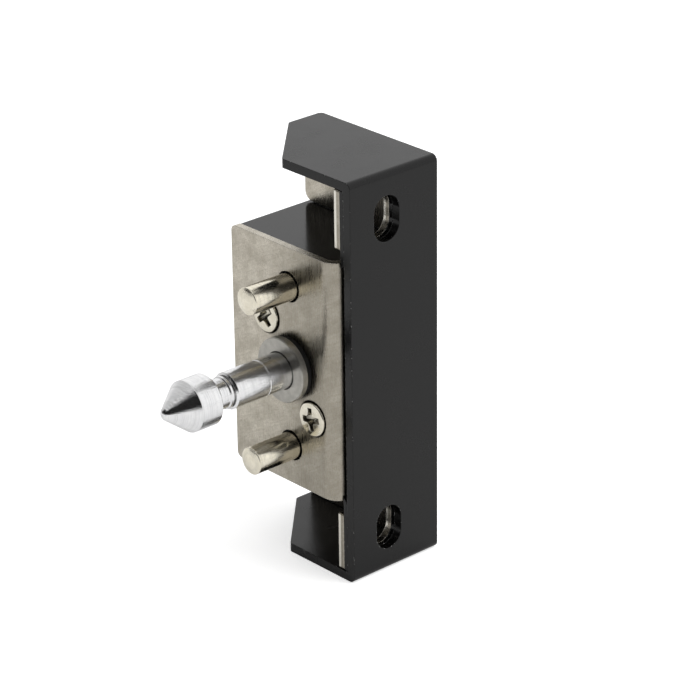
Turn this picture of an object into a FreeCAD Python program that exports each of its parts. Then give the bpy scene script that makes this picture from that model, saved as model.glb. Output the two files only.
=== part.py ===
import FreeCAD, Part
import math
import os
import Sketcher

# Electronic cabinet lock: a black folded mounting bracket that carries a folded box.
# The box holds a solenoid with a pointed bolt and two sprung ejector pins.
# Millimetres. Z is up, the bolt points to -Y, and the bracket's outer face is X = 0.
# The origin is the middle of the two mounting slots on that outer face.

SIZES = [
    ("bracket_sheet", 2.0, "thickness of the bracket's sheet"),
    ("flange_overhang", 0.5, "reach of the flanges past the housing cover"),
    ("screw_room", 16.15, "clear height between the front plate and a flange"),
    ("bracket_bend", 1.4, "outer radius of the bracket's bends"),
    ("bracket_inner_bend", 0.4, "inner radius of the bracket's bends"),
    ("corner_cut", 15.0, "corner cut off each flange, along both edges"),
    ("corner_round", 1.0, "rounding of the flange corners"),
    ("slot_width", 7.0, "width of a mounting slot"),
    ("slot_length", 10.0, "overall length of a mounting slot"),
    ("slot_inset", 10.0, "distance of a slot's middle from the bracket's end"),
    ("slot_edge", 10.0, "distance from the slots' middle to the bracket's front edge"),
    ("cover_sheet", 1.0, "thickness of the black housing cover"),
    ("cover_gap", 3.1, "play between the carrier block and the cover above and below it"),
    ("cover_bend", 0.6, "outer radius of the cover's bends"),
    ("cover_lug_bend", 2.0, "outer radius of the bends where the lugs leave the cover"),
    ("sheet_gap", 0.05, "play between two sheets that lie on each other"),
    ("fold_gap", 0.2, "play between folded edges that are not joined"),
    ("chassis_sheet", 1.6, "thickness of the nickel-plated chassis"),
    ("plate_overlap", 0.25, "height of the front plate above the cover"),
    ("plate_overhang", 0.3, "reach of the front plate past the cover"),
    ("side_gap", 3.55, "play between the chassis and the carrier block beside it"),
    ("chassis_bend", 4.0, "outer radius of the bend beside the front plate"),
    ("plate_corner", 1.3, "rounding of the front plate's corners"),
    ("tab_inset", 3.4, "distance of the rear tabs from the bracket's rear edge"),
    ("tab_bend", 2.8, "outer radius of the bend between an ear and its tab"),
    ("tab_corner", 2.0, "rounding of a tab's free corner"),
    ("ear_rise", 3.0, "height of the notch between the front plate and an ear"),
    ("ear_corner", 0.4, "rounding of an ear's front corners"),
    ("neck_setback", 2.4, "distance of an ear's carrying strip from the front edge"),
    ("neck_gap", 3.0, "distance of an ear's carrying strip from its tab"),
    ("screw_across", 7.0, "sideways distance of a plate screw from the bolt"),
    ("screw_up", 9.6, "vertical distance of a plate screw from the bolt"),
    ("bolt_radius", 4.0, "radius of the bolt's shank"),
    ("bolt_shank", 14.8, "bolt shank that stands out of the guide bush"),
    ("neck_radius", 3.25, "radius of the bolt's catch groove"),
    ("neck_length", 4.85, "length of the bolt's catch groove"),
    ("neck_ring", 0.25, "height of the turned ring in the catch groove"),
    ("neck_ring_start", 1.3, "distance of the turned ring from the shoulder"),
    ("neck_ring_end", 0.5, "width of the undercut at the shoulder"),
    ("undercut", 0.15, "depth of the undercut at the shoulder"),
    ("head_radius", 5.55, "radius of the bolt's head"),
    ("head_length", 5.6, "straight length of the bolt's head"),
    ("point_length", 6.2, "length of the bolt's cone"),
    ("point_flat", 0.87, "radius of the tip before it is rounded"),
    ("point_round", 1.6, "rounding of the tip"),
    ("edge_break", 0.4, "chamfer on turned edges"),
    ("ring_groove", 5.9, "distance of the turned line on the shank from the bush"),
    ("line_width", 0.2, "half the width of the turned line"),
    ("line_depth", 0.1, "depth of the turned line"),
    ("bolt_stroke", 5.0, "travel of the bolt"),
    ("bush_wall", 1.45, "wall of the guide bush"),
    ("bush_step", 1.6, "reach of the guide bush's flange past its barrel"),
    ("bush_flange", 1.5, "thickness of the guide bush's flange"),
    ("bush_depth", 3.0, "depth of the bush's seat in the carrier block"),
    ("buffer_inset", 0.3, "step from the bush's flange back to the rubber buffer ring"),
    ("buffer_height", 1.25, "thickness of the rubber buffer ring"),
    ("run_clearance", 0.05, "radial play of a sliding shaft in its bore"),
    ("seat_clearance", 0.05, "radial play of a fixed piece in its seat"),
    ("ejector_radius", 3.0, "radius of an ejector pin"),
    ("ejector_reach", 11.7, "ejector pin that stands out of the front plate"),
    ("ejector_tail", 5.0, "ejector pin that stands out behind the carrier block"),
    ("ejector_gap", 0.4, "play of an ejector pin in the front plate"),
    ("ejector_margin", 4.4, "distance of an ejector pin's axis from the carrier block's end"),
    ("clip_depth", 0.7, "depth of the retaining groove"),
    ("clip_step", 1.3, "reach of a retaining clip past its pin"),
    ("clip_thickness", 0.7, "thickness of a retaining clip"),
    ("clip_gap", 0.1, "play between a retaining clip and the carrier block"),
    ("clip_play", 0.02, "play of a retaining clip along its groove"),
    ("clip_sweep", 290.0, "angle that a retaining clip closes round its pin, degrees"),
    ("carrier_depth", 6.0, "thickness of the carrier block"),
    ("carrier_corner", 2.0, "rounding of the carrier block's corners"),
    ("carrier_pocket", 2.5, "depth of the cored pockets in the carrier block"),
    ("pocket_wall", 1.4, "wall left round a cored pocket"),
    ("plunger_step", 0.6, "step from the bolt's shank to the plunger"),
    ("plunger_play", 0.25, "radial play of the plunger in the coil bobbin"),
    ("plunger_floor", 1.2, "iron left between the plunger's two bores"),
    ("washer_height", 0.5, "thickness of the stop washer"),
    ("spigot_radius", 2.0, "radius of the bolt's spigot in the plunger"),
    ("spigot_play", 0.5, "depth of the plunger's bore past the spigot"),
    ("yoke_sheet", 2.0, "thickness of the solenoid yoke"),
    ("yoke_height", 24.0, "height of the solenoid yoke"),
    ("yoke_bend", 2.6, "outer radius of the yoke's bends"),
    ("coil_length", 13.0, "room for the coil between the yoke's cheeks"),
    ("bobbin_wall", 0.55, "wall of the coil bobbin's tube"),
    ("bobbin_flange", 0.9, "thickness of the coil bobbin's flanges"),
    ("bobbin_radius", 7.0, "radius of the coil bobbin's flanges"),
    ("bobbin_gap", 0.2, "play between the bobbin and the yoke's web"),
    ("winding_inset", 0.2, "step from the bobbin's flange down to the winding"),
    ("core_length", 3.4, "length of the fixed core inside the bobbin"),
    ("core_web", 0.35, "iron left behind the return spring's seat in the core"),
    ("core_rivet", 2.5, "radius of the rivet that holds the core in the yoke"),
    ("air_gap", 0.2, "gap that stays between plunger and core at full pull"),
    ("return_wire", 0.5, "wire of the return spring"),
    ("return_radius", 2.1, "mean radius of the return spring"),
    ("return_turns", 7.0, "turns of the return spring"),
    ("return_seat", 2.6, "radius of the return spring's seats"),
    ("plunger_seat", 2.2, "depth of the return spring's seat in the plunger"),
    ("ejector_wire", 0.7, "wire of an ejector spring"),
    ("ejector_play", 0.4, "play between an ejector pin and its spring"),
    ("spring_gap", 2.0, "play between an ejector spring and the yoke"),
    ("ejector_turns", 8.0, "turns of an ejector spring"),
    ("cup_wall", 0.45, "rim of a spring cup"),
    ("cup_play", 0.45, "play between an ejector spring and its cup"),
    ("cup_floor", 0.8, "floor of a spring cup"),
    ("cup_height", 2.4, "height of a spring cup"),
    ("end_play", 0.05, "play at the ends of the stacked pieces"),
    ("screw_radius", 2.0, "radius of a plate screw's shank"),
    ("screw_head", 3.75, "radius of a plate screw's head"),
    ("screw_sink", 0.3, "depth of a plate screw's face below the front plate"),
    ("recess_reach", 2.4, "half the width of a cross recess"),
    ("recess_width", 1.2, "width of a cross recess's arm"),
    ("recess_depth", 1.5, "depth of a cross recess"),
    ("board_sheet", 1.4, "thickness of the circuit board"),
    ("board_gap", 3.3, "room between the circuit board and the carrier block"),
    ("board_margin", 1.6, "play between the board's ends and the cover"),
    ("board_rear", 1.1, "play between the board and the cover's rear wall"),
    ("board_stand", 2.5, "height of the circuit board above the cover's wall"),
    ("board_front", 1.5, "gap between the front plate and the circuit board"),
    ("spacer_radius", 2.3, "radius of a board spacer"),
    ("spacer_inset", 3.0, "distance of the spacers from the board's ends"),
    ("spacer_front", 3.6, "distance of the spacers from the board's front edge"),
    ("board_screw", 1.0, "radius of a board screw's shank"),
    ("board_head", 1.8, "radius of a board screw's head"),
    ("board_head_rise", 1.3, "height of a board screw's head"),
    ("chip_length", 8.6, "length of the controller chip"),
    ("chip_width", 5.2, "width of the controller chip"),
    ("chip_rise", 1.6, "height of the controller chip"),
    ("chip_along", -2.0, "place of the controller chip along the bolt's direction"),
    ("chip_up", 2.0, "height of the controller chip above the bolt's axis"),
    ("transistor_width", 6.0, "width of the driver transistor"),
    ("transistor_rise", 2.2, "height of the driver transistor"),
    ("transistor_along", -3.5, "place of the transistor along the bolt's direction"),
    ("transistor_up", -9.0, "height of the transistor above the bolt's axis"),
    ("capacitor_radius", 3.0, "radius of the smoothing capacitor"),
    ("capacitor_rise", 6.2, "height of the smoothing capacitor"),
    ("capacitor_along", 5.5, "place of the capacitor along the bolt's direction"),
    ("capacitor_inset", 4.5, "distance of the capacitor's axis from the board's end"),
    ("sensor_width", 4.0, "width of the door sensor"),
    ("sensor_rise", 3.1, "height of the door sensor"),
    ("sensor_thickness", 1.5, "thickness of the door sensor"),
    ("sensor_gap", 1.5, "distance of the door sensor's middle from the yoke"),
    ("magnet_radius", 1.5, "radius of the magnet in the upper ejector pin"),
    ("magnet_length", 2.0, "length of the magnet in the upper ejector pin"),
    ("socket_width", 10.0, "width of the cable socket"),
    ("socket_rise", 5.0, "height of the cable socket above the board"),
    ("socket_length", 8.6, "length of the cable socket"),
    ("socket_wall", 0.8, "wall of the cable socket"),
    ("socket_depth", 6.2, "depth of the cable socket's cavity"),
    ("contact_size", 0.6, "side of a contact pin"),
    ("contact_pitch", 2.0, "distance between contact pins"),
    ("contact_reach", 4.5, "contact pin that stands in the cavity"),
    ("contact_tail", 0.5, "contact pin that stands out behind the board"),
    ("window_gap", 0.4, "play round the cable socket in the cover's window"),
    ("socket_gap", 0.5, "play between the cable socket and the yoke"),
]

CONTACT_COUNT = 4
LIMIT_PLAY = 0.001
START_RING = 20.0
SPRING_POINTS_PER_TURN = 10
CLOSED_TURNS = 1.0

doc = FreeCAD.newDocument("cabinet_lock")
sheet = doc.addObject("Spreadsheet::Sheet", "sizes")
for row, (alias, value, note) in enumerate(SIZES, start=1):
    sheet.set("A%d" % row, alias)
    sheet.set("B%d" % row, str(value))
    sheet.setAlias("B%d" % row, alias)
    sheet.set("C%d" % row, note)
doc.recompute()

# Places that several pieces share, as expressions on the sheet, from the inside out.
PLUNGER_RADIUS = "(sizes.bolt_radius + sizes.plunger_step)"
PLUNGER_BORE = "(%s + sizes.plunger_play)" % PLUNGER_RADIUS
BUSH_RADIUS = "(sizes.bolt_radius + sizes.run_clearance + sizes.bush_wall)"
BUSH_FLANGE_RADIUS = "(%s + sizes.bush_step)" % BUSH_RADIUS
SINK_RADIUS = "(sizes.screw_head + sizes.screw_sink + sizes.seat_clearance)"
EJECTOR_COIL = "(sizes.ejector_radius + sizes.ejector_play + sizes.ejector_wire / 2)"
EJECTOR_COIL_EDGE = "(%s + sizes.ejector_wire / 2)" % EJECTOR_COIL
CUP_RADIUS = "(%s + sizes.cup_play + sizes.cup_wall)" % EJECTOR_COIL_EDGE
CLIP_GROOVE = "(sizes.ejector_radius - sizes.clip_depth)"

FRONT_EDGE = "(-sizes.slot_edge)"
PLATE_FACE = "(-sizes.slot_edge - sizes.chassis_sheet)"
BLOCK_FRONT = "(-sizes.slot_edge + sizes.end_play)"
BLOCK_REAR = "(%s + sizes.carrier_depth)" % BLOCK_FRONT
YOKE_INNER_FRONT = "(%s + sizes.yoke_sheet)" % BLOCK_REAR
YOKE_INNER_REAR = "(%s + sizes.coil_length)" % YOKE_INNER_FRONT
YOKE_REAR = "(%s + sizes.yoke_sheet)" % YOKE_INNER_REAR
BACK_WALL = "(%s + sizes.end_play)" % YOKE_REAR
REAR_EDGE = "(%s + sizes.cover_sheet)" % BACK_WALL
TAB_BACK = "(%s - sizes.tab_inset)" % REAR_EDGE
TAB_FRONT = "(%s - sizes.chassis_sheet)" % TAB_BACK
NECK_FRONT = "(%s + sizes.neck_setback)" % FRONT_EDGE
NECK_BACK = "(%s - sizes.neck_gap)" % TAB_FRONT
BUSH_FACE = "(%s - sizes.buffer_height - sizes.bush_flange)" % PLATE_FACE
BUSH_REAR = "(-sizes.slot_edge + sizes.bush_depth)"
WASHER_FRONT = "(%s + sizes.end_play)" % BUSH_REAR
PLUNGER_FRONT = "(%s + sizes.washer_height + sizes.end_play)" % WASHER_FRONT
CORE_FRONT = "(%s - sizes.core_length)" % YOKE_INNER_REAR
CORE_REAR = "(%s - sizes.end_play)" % YOKE_INNER_REAR
CORE_SEAT = "(%s - sizes.core_web)" % CORE_REAR
PLUNGER_REAR = "(%s - sizes.bolt_stroke - sizes.air_gap)" % CORE_FRONT
PLUNGER_SEAT = "(%s - sizes.plunger_seat)" % PLUNGER_REAR
SPIGOT_BORE_END = "(%s - sizes.plunger_floor)" % PLUNGER_SEAT
SPIGOT_END = "(%s - sizes.spigot_play)" % SPIGOT_BORE_END
CLIP_FRONT = "(%s + sizes.clip_gap)" % BLOCK_REAR
CLIP_REAR = "(%s + sizes.clip_thickness)" % CLIP_FRONT
EJECTOR_TAIL = "(%s + sizes.ejector_tail)" % BLOCK_REAR
CUP_SEAT = "(%s - sizes.cup_floor)" % BACK_WALL

YOKE_TOP = "(sizes.yoke_height / 2)"
EJECTOR_UP = "(%s + sizes.spring_gap + %s)" % (YOKE_TOP, EJECTOR_COIL_EDGE)
BLOCK_TOP = "(%s + sizes.ejector_margin)" % EJECTOR_UP
COVER_INSIDE = "(%s + sizes.cover_gap)" % BLOCK_TOP
COVER_TOP = "(%s + sizes.cover_sheet)" % COVER_INSIDE
PLATE_TOP = "(%s + sizes.plate_overlap)" % COVER_TOP
FLANGE_INSIDE = "(%s + sizes.screw_room)" % PLATE_TOP
BRACKET_TOP = "(%s + sizes.bracket_sheet)" % FLANGE_INSIDE
EAR_TOP = "(%s - sizes.fold_gap)" % FLANGE_INSIDE
EAR_BOTTOM = "(%s + sizes.ear_rise)" % PLATE_TOP
SLOT_UP = "(%s - sizes.slot_inset)" % BRACKET_TOP
BOARD_TOP = "(%s - sizes.board_margin)" % COVER_INSIDE
SPACER_UP = "(%s - sizes.spacer_inset)" % BOARD_TOP

LUG_FACE = "(sizes.bracket_sheet + sizes.sheet_gap)"
LUG_BACK = "(%s + sizes.cover_sheet)" % LUG_FACE
EAR_FACE = "(%s + sizes.sheet_gap)" % LUG_BACK
EAR_BACK = "(%s + sizes.chassis_sheet)" % EAR_FACE
HALF_WIDTH = "(sizes.bobbin_radius + sizes.bobbin_gap + sizes.yoke_sheet)"
AXIS_INSET = "(%s + sizes.side_gap + %s)" % (EAR_BACK, HALF_WIDTH)
BOARD_FACE = "(%s + %s + sizes.board_gap)" % (AXIS_INSET, HALF_WIDTH)
BOARD_BACK = "(%s + sizes.board_sheet)" % BOARD_FACE
WALL_INSIDE = "(%s + sizes.board_stand)" % BOARD_BACK
COVER_REACH = "(%s + sizes.cover_sheet)" % WALL_INSIDE
PLATE_REACH = "(%s + sizes.plate_overhang)" % COVER_REACH
BRACKET_REACH = "(%s + sizes.flange_overhang)" % COVER_REACH

BOARD_FRONT = "(-sizes.slot_edge + sizes.board_front)"
BOARD_REAR = "(%s - sizes.board_rear)" % BACK_WALL
SPACER_ALONG = "(%s + sizes.spacer_front)" % BOARD_FRONT
SOCKET_MIDDLE = "(-%s - sizes.socket_gap - sizes.socket_width / 2)" % YOKE_TOP
SOCKET_REAR = "(%s - 2 * sizes.sheet_gap)" % REAR_EDGE
SOCKET_FRONT = "(%s - sizes.socket_length)" % SOCKET_REAR
CAVITY_FLOOR = "(%s - sizes.socket_depth)" % SOCKET_REAR
CONTACT_LEG = "(%s - 2 * sizes.contact_size)" % SOCKET_FRONT
CONTACT_ROW = "(%s - sizes.socket_rise / 2)" % BOARD_FACE


def value(text):
    """Work out an expression on the sheet as a number."""
    return float(sheet.evalExpression(text))


def new_body(name, across=None, along=None, up=None):
    """Make a sub-part and bind its place to the sheet."""
    body = doc.addObject("PartDesign::Body", name)
    body.Label = name
    for axis, text in (("x", across), ("y", along), ("z", up)):
        if text is not None:
            body.setExpression("Placement.Base." + axis, text)
    return body


def new_sketch(body, name, role, level="0"):
    """Put a sketch on one of the body's own planes, shifted along its normal."""
    plane = next(item for item in body.Origin.OriginFeatures if item.Role == role)
    sketch = body.newObject("Sketcher::SketchObject", body.Name + "_" + name)
    sketch.AttachmentSupport = [(plane, "")]
    sketch.MapMode = "FlatFace"
    sketch.setExpression("AttachmentOffset.Base.z", level)
    return sketch


def place_point(sketch, geometry, point, across, up):
    """Bind one point of a sketch to the sheet, measured from the sketch's origin."""
    for kind, text in (("DistanceX", across), ("DistanceY", up)):
        index = sketch.addConstraint(Sketcher.Constraint(kind, -1, 1, geometry, point, 1.0))
        sketch.setExpression("Constraints[%d]" % index, text)


def outline(sketch, corners):
    """Draw a closed outline with straight sides through the given corners."""
    count = len(corners)
    turn = 2 * math.pi / count
    ring = [FreeCAD.Vector(START_RING * math.cos(turn * i), START_RING * math.sin(turn * i), 0)
            for i in range(count)]
    first = sketch.GeometryCount
    for i in range(count):
        sketch.addGeometry(Part.LineSegment(ring[i], ring[(i + 1) % count]), False)
    for i in range(count):
        link = Sketcher.Constraint("Coincident", first + i, 2, first + (i + 1) % count, 1)
        sketch.addConstraint(link)
    for i, (across, up) in enumerate(corners):
        place_point(sketch, first + i, 1, across, up)


def rectangle(sketch, left, right, low, high):
    """Draw a rectangle between four limits."""
    outline(sketch, [(left, low), (right, low), (right, high), (left, high)])


def circle(sketch, across, up, radius):
    """Draw a circle."""
    round_shape = Part.Circle(FreeCAD.Vector(0, 0, 0), FreeCAD.Vector(0, 0, 1), 1.0)
    index = sketch.addGeometry(round_shape, False)
    place_point(sketch, index, 3, across, up)
    bind = sketch.addConstraint(Sketcher.Constraint("Radius", index, 1.0))
    sketch.setExpression("Constraints[%d]" % bind, radius)


def pad(body, sketch, length, forward=True):
    """Extrude a sketch. Forward is along the sketch's normal."""
    feature = body.newObject("PartDesign::Pad", sketch.Name + "_pad")
    feature.Profile = sketch
    feature.Reversed = not forward
    feature.setExpression("Length", length)
    sketch.Visibility = False
    doc.recompute()
    return feature


def pocket(body, sketch, length, forward=False):
    """Cut a sketch out of the body and make sure that it cuts something."""
    before = body.Shape.Volume
    feature = body.newObject("PartDesign::Pocket", sketch.Name + "_pocket")
    feature.Profile = sketch
    feature.Reversed = forward
    feature.setExpression("Length", length)
    doc.recompute()
    if not body.Shape.Volume < before - LIMIT_PLAY:
        raise RuntimeError("%s cuts nothing" % feature.Name)
    return feature


def revolve(body, corners, degrees="360"):
    """Turn an outline round the body's Y axis. Corners are radius and place along Y."""
    sketch = new_sketch(body, "profile", "XY_Plane")
    outline(sketch, corners)
    feature = body.newObject("PartDesign::Revolution", body.Name + "_turned")
    feature.Profile = sketch
    feature.ReferenceAxis = (sketch, ["V_Axis"])
    feature.setExpression("Angle", degrees)
    doc.recompute()
    return feature


def edges_at(body, x=None, y=None, z=None):
    """Name the straight edges whose two ends both lie at the given places."""
    names = []
    for number, edge in enumerate(body.Tip.Shape.Edges, start=1):
        if len(edge.Vertexes) != 2 or not isinstance(edge.Curve, Part.Line):
            continue
        fits = True
        for vertex in edge.Vertexes:
            for wanted, found in ((x, vertex.X), (y, vertex.Y), (z, vertex.Z)):
                if wanted is not None and abs(wanted - found) > LIMIT_PLAY:
                    fits = False
        if fits:
            names.append("Edge%d" % number)
    return names


def rims_at(body, radius, y):
    """Name the round edges of one radius at one place along Y."""
    names = []
    for number, edge in enumerate(body.Tip.Shape.Edges, start=1):
        if not isinstance(edge.Curve, Part.Circle):
            continue
        same_radius = abs(edge.Curve.Radius - radius) < LIMIT_PLAY
        if same_radius and abs(edge.Curve.Center.y - y) < LIMIT_PLAY:
            names.append("Edge%d" % number)
    return names


def round_edges(body, names, radius, label):
    """Round the named edges."""
    if not names:
        raise RuntimeError("%s finds no edge" % label)
    base = body.Tip
    feature = body.newObject("PartDesign::Fillet", body.Name + "_" + label)
    feature.Base = (base, names)
    feature.setExpression("Radius", radius)
    doc.recompute()
    if "Invalid" in feature.State:
        raise RuntimeError("%s fails: %s" % (feature.Name, feature.getStatusString()))
    return feature


def slot_cuts(body, name, level, depth):
    """Cut the two mounting slots: round ends first, then the straight middle."""
    for side, sign in (("upper", "1"), ("lower", "-1")):
        middle = "%s * %s" % (sign, SLOT_UP)
        straight = "(sizes.slot_length - sizes.slot_width) / 2"
        ends = new_sketch(body, "%s_%s_ends" % (name, side), "YZ_Plane", level)
        top_end = "%s + %s" % (middle, straight)
        low_end = "%s - %s" % (middle, straight)
        circle(ends, "0", top_end, "sizes.slot_width / 2")
        pocket(body, ends, depth)
        other = new_sketch(body, "%s_%s_other_end" % (name, side), "YZ_Plane", level)
        circle(other, "0", low_end, "sizes.slot_width / 2")
        pocket(body, other, depth)
        web = new_sketch(body, "%s_%s_middle" % (name, side), "YZ_Plane", level)
        rectangle(web, "-sizes.slot_width / 2", "sizes.slot_width / 2", low_end, top_end)
        pocket(body, web, depth)


def make_bracket():
    """Black bracket: a plate with two flanges, each with one corner cut off."""
    body = new_body("mounting_bracket")
    sketch = new_sketch(body, "section", "XZ_Plane", "sizes.slot_edge")
    outline(sketch, [
        ("0", "-" + BRACKET_TOP), ("0", BRACKET_TOP), ("-" + BRACKET_REACH, BRACKET_TOP),
        ("-" + BRACKET_REACH, FLANGE_INSIDE), ("-sizes.bracket_sheet", FLANGE_INSIDE),
        ("-sizes.bracket_sheet", "-" + FLANGE_INSIDE), ("-" + BRACKET_REACH, "-" + FLANGE_INSIDE),
        ("-" + BRACKET_REACH, "-" + BRACKET_TOP),
    ])
    pad(body, sketch, "%s - %s" % (REAR_EDGE, FRONT_EDGE), forward=False)
    cut = new_sketch(body, "corner", "XY_Plane", BRACKET_TOP)
    outline(cut, [
        ("-%s - 1" % BRACKET_REACH, FRONT_EDGE + " - 1"),
        ("-%s + sizes.corner_cut + 1" % BRACKET_REACH, FRONT_EDGE + " - 1"),
        ("-%s - 1" % BRACKET_REACH, FRONT_EDGE + " + sizes.corner_cut + 1"),
    ])
    pocket(body, cut, "2 * " + BRACKET_TOP)
    reach, front, rear = value(BRACKET_REACH), value(FRONT_EDGE), value(REAR_EDGE)
    corner = value("sizes.corner_cut")
    names = []
    for x, y in ((-reach, front + corner), (-reach + corner, front), (-reach, rear)):
        names += edges_at(body, x=x, y=y)
    round_edges(body, names, "sizes.corner_round", "flange_corners")
    top, inside = value(BRACKET_TOP), value(FLANGE_INSIDE)
    names = edges_at(body, x=0, z=top) + edges_at(body, x=0, z=-top)
    round_edges(body, names, "sizes.bracket_bend", "bends_out")
    back = -value("sizes.bracket_sheet")
    names = edges_at(body, x=back, z=inside) + edges_at(body, x=back, z=-inside)
    round_edges(body, names, "sizes.bracket_inner_bend", "bends_in")
    slot_cuts(body, "slot", "0", "sizes.bracket_sheet + 1")
    return body


def make_chassis():
    """Nickel-plated chassis: front plate, side plate and two ears with rear tabs, folded as one."""
    body = new_body("chassis_plate")
    sketch = new_sketch(body, "angle", "XY_Plane", "-" + PLATE_TOP)
    side_end = "(%s - sizes.fold_gap)" % BACK_WALL
    outline(sketch, [
        ("-" + PLATE_REACH, PLATE_FACE), ("-" + EAR_FACE, PLATE_FACE), ("-" + EAR_FACE, side_end),
        ("-" + EAR_BACK, side_end), ("-" + EAR_BACK, FRONT_EDGE), ("-" + PLATE_REACH, FRONT_EDGE),
    ])
    pad(body, sketch, "2 * " + PLATE_TOP)
    names = edges_at(body, x=-value(EAR_FACE), y=value(PLATE_FACE))
    round_edges(body, names, "sizes.chassis_bend", "bend_out")
    names = edges_at(body, x=-value(EAR_BACK), y=value(FRONT_EDGE))
    round_edges(body, names, "sizes.chassis_bend - sizes.chassis_sheet", "bend_in")
    reach, top = value(PLATE_REACH), value(PLATE_TOP)
    names = edges_at(body, x=-reach, z=top) + edges_at(body, x=-reach, z=-top)
    round_edges(body, names, "sizes.plate_corner", "plate_corners")
    for side, sign in (("upper", 1), ("lower", -1)):
        add_ear(body, side, sign)
    slot_cuts(body, "slot", "-" + EAR_FACE + " + 1", "sizes.chassis_sheet + 2")
    add_plate_holes(body)
    return body


def add_ear(body, side, sign):
    """One ear beside the bracket's plate, with its tab folded behind the flange."""
    text = "%d * " % sign
    profile = new_sketch(body, side + "_ear", "XY_Plane", PLATE_TOP if sign > 0 else "-" + EAR_TOP)
    outline(profile, [
        ("-" + EAR_FACE, FRONT_EDGE), ("-" + EAR_FACE, TAB_BACK), ("-" + PLATE_REACH, TAB_BACK),
        ("-" + PLATE_REACH, TAB_FRONT), ("-" + EAR_BACK, TAB_FRONT), ("-" + EAR_BACK, FRONT_EDGE),
    ])
    pad(body, profile, "%s - %s" % (EAR_TOP, PLATE_TOP))
    past_lug = "%s - sizes.bracket_sheet + sizes.tab_bend" % EAR_BACK
    base = text + PLATE_TOP
    relief = new_sketch(body, side + "_relief", "YZ_Plane", "-sizes.bracket_sheet")
    rectangle(relief, NECK_BACK, REAR_EDGE + " + 1", text + "(%s - sizes.fold_gap)" % COVER_INSIDE, base)
    pocket(body, relief, past_lug)
    notch = new_sketch(body, side + "_notch", "YZ_Plane", "-sizes.bracket_sheet")
    rectangle(notch, FRONT_EDGE + " - 1", NECK_FRONT, base, text + EAR_BOTTOM)
    pocket(body, notch, past_lug)
    corner = edges_at(body, x=-value(EAR_FACE), y=value(TAB_BACK))
    round_edges(body, on_side(body, corner, sign), "sizes.tab_bend", side + "_tab_out")
    corner = edges_at(body, x=-value(EAR_BACK), y=value(TAB_FRONT))
    round_edges(body, on_side(body, corner, sign), "sizes.tab_bend - sizes.chassis_sheet", side + "_tab_in")
    corner = edges_at(body, x=-value(PLATE_REACH), z=sign * value(PLATE_TOP))
    tab_edges = [name for name in corner if edge_place(body, name).y > 0]
    round_edges(body, tab_edges, "sizes.tab_corner", side + "_tab_corner")
    names = edges_at(body, y=value(FRONT_EDGE), z=sign * value(EAR_TOP))
    names += edges_at(body, y=value(FRONT_EDGE), z=sign * value(EAR_BOTTOM))
    round_edges(body, names, "sizes.ear_corner", side + "_ear_corners")


def edge_place(body, name):
    """Middle of a named edge."""
    return body.Tip.Shape.getElement(name).CenterOfMass


def on_side(body, names, sign):
    """Keep the edges above the middle of the lock, or those below it for sign -1."""
    return [name for name in names if edge_place(body, name).z * sign > 0]


def add_plate_holes(body):
    """Holes of the front plate for the bush, the ejector pins and the countersunk screws."""
    holes = new_sketch(body, "openings", "XZ_Plane", "-" + PLATE_FACE)
    circle(holes, "-" + AXIS_INSET, "0", BUSH_RADIUS + " + 2 * sizes.seat_clearance")
    for sign in ("1", "-1"):
        hole = "sizes.ejector_radius + sizes.ejector_gap"
        circle(holes, "-" + AXIS_INSET, "%s * %s" % (sign, EJECTOR_UP), hole)
    pocket(body, holes, "sizes.chassis_sheet")
    for name, sign in (("upper", -1), ("lower", 1)):
        before = body.Shape.Volume
        sink = body.newObject("PartDesign::SubtractiveCone", "chassis_sink_" + name)
        sink.setExpression("Radius1", SINK_RADIUS)
        sink.setExpression("Radius2", SINK_RADIUS + " - sizes.chassis_sheet")
        sink.setExpression("Height", "sizes.chassis_sheet")
        sink.Placement = FreeCAD.Placement(
            FreeCAD.Vector(0, 0, 0), FreeCAD.Rotation(FreeCAD.Vector(1, 0, 0), -90))
        sink.setExpression("Placement.Base.x", "-%s + %d * sizes.screw_across" % (AXIS_INSET, sign))
        sink.setExpression("Placement.Base.y", PLATE_FACE)
        sink.setExpression("Placement.Base.z", "%d * sizes.screw_up" % -sign)
        doc.recompute()
        if not body.Shape.Volume < before - LIMIT_PLAY:
            raise RuntimeError("countersink cuts nothing")


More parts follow.
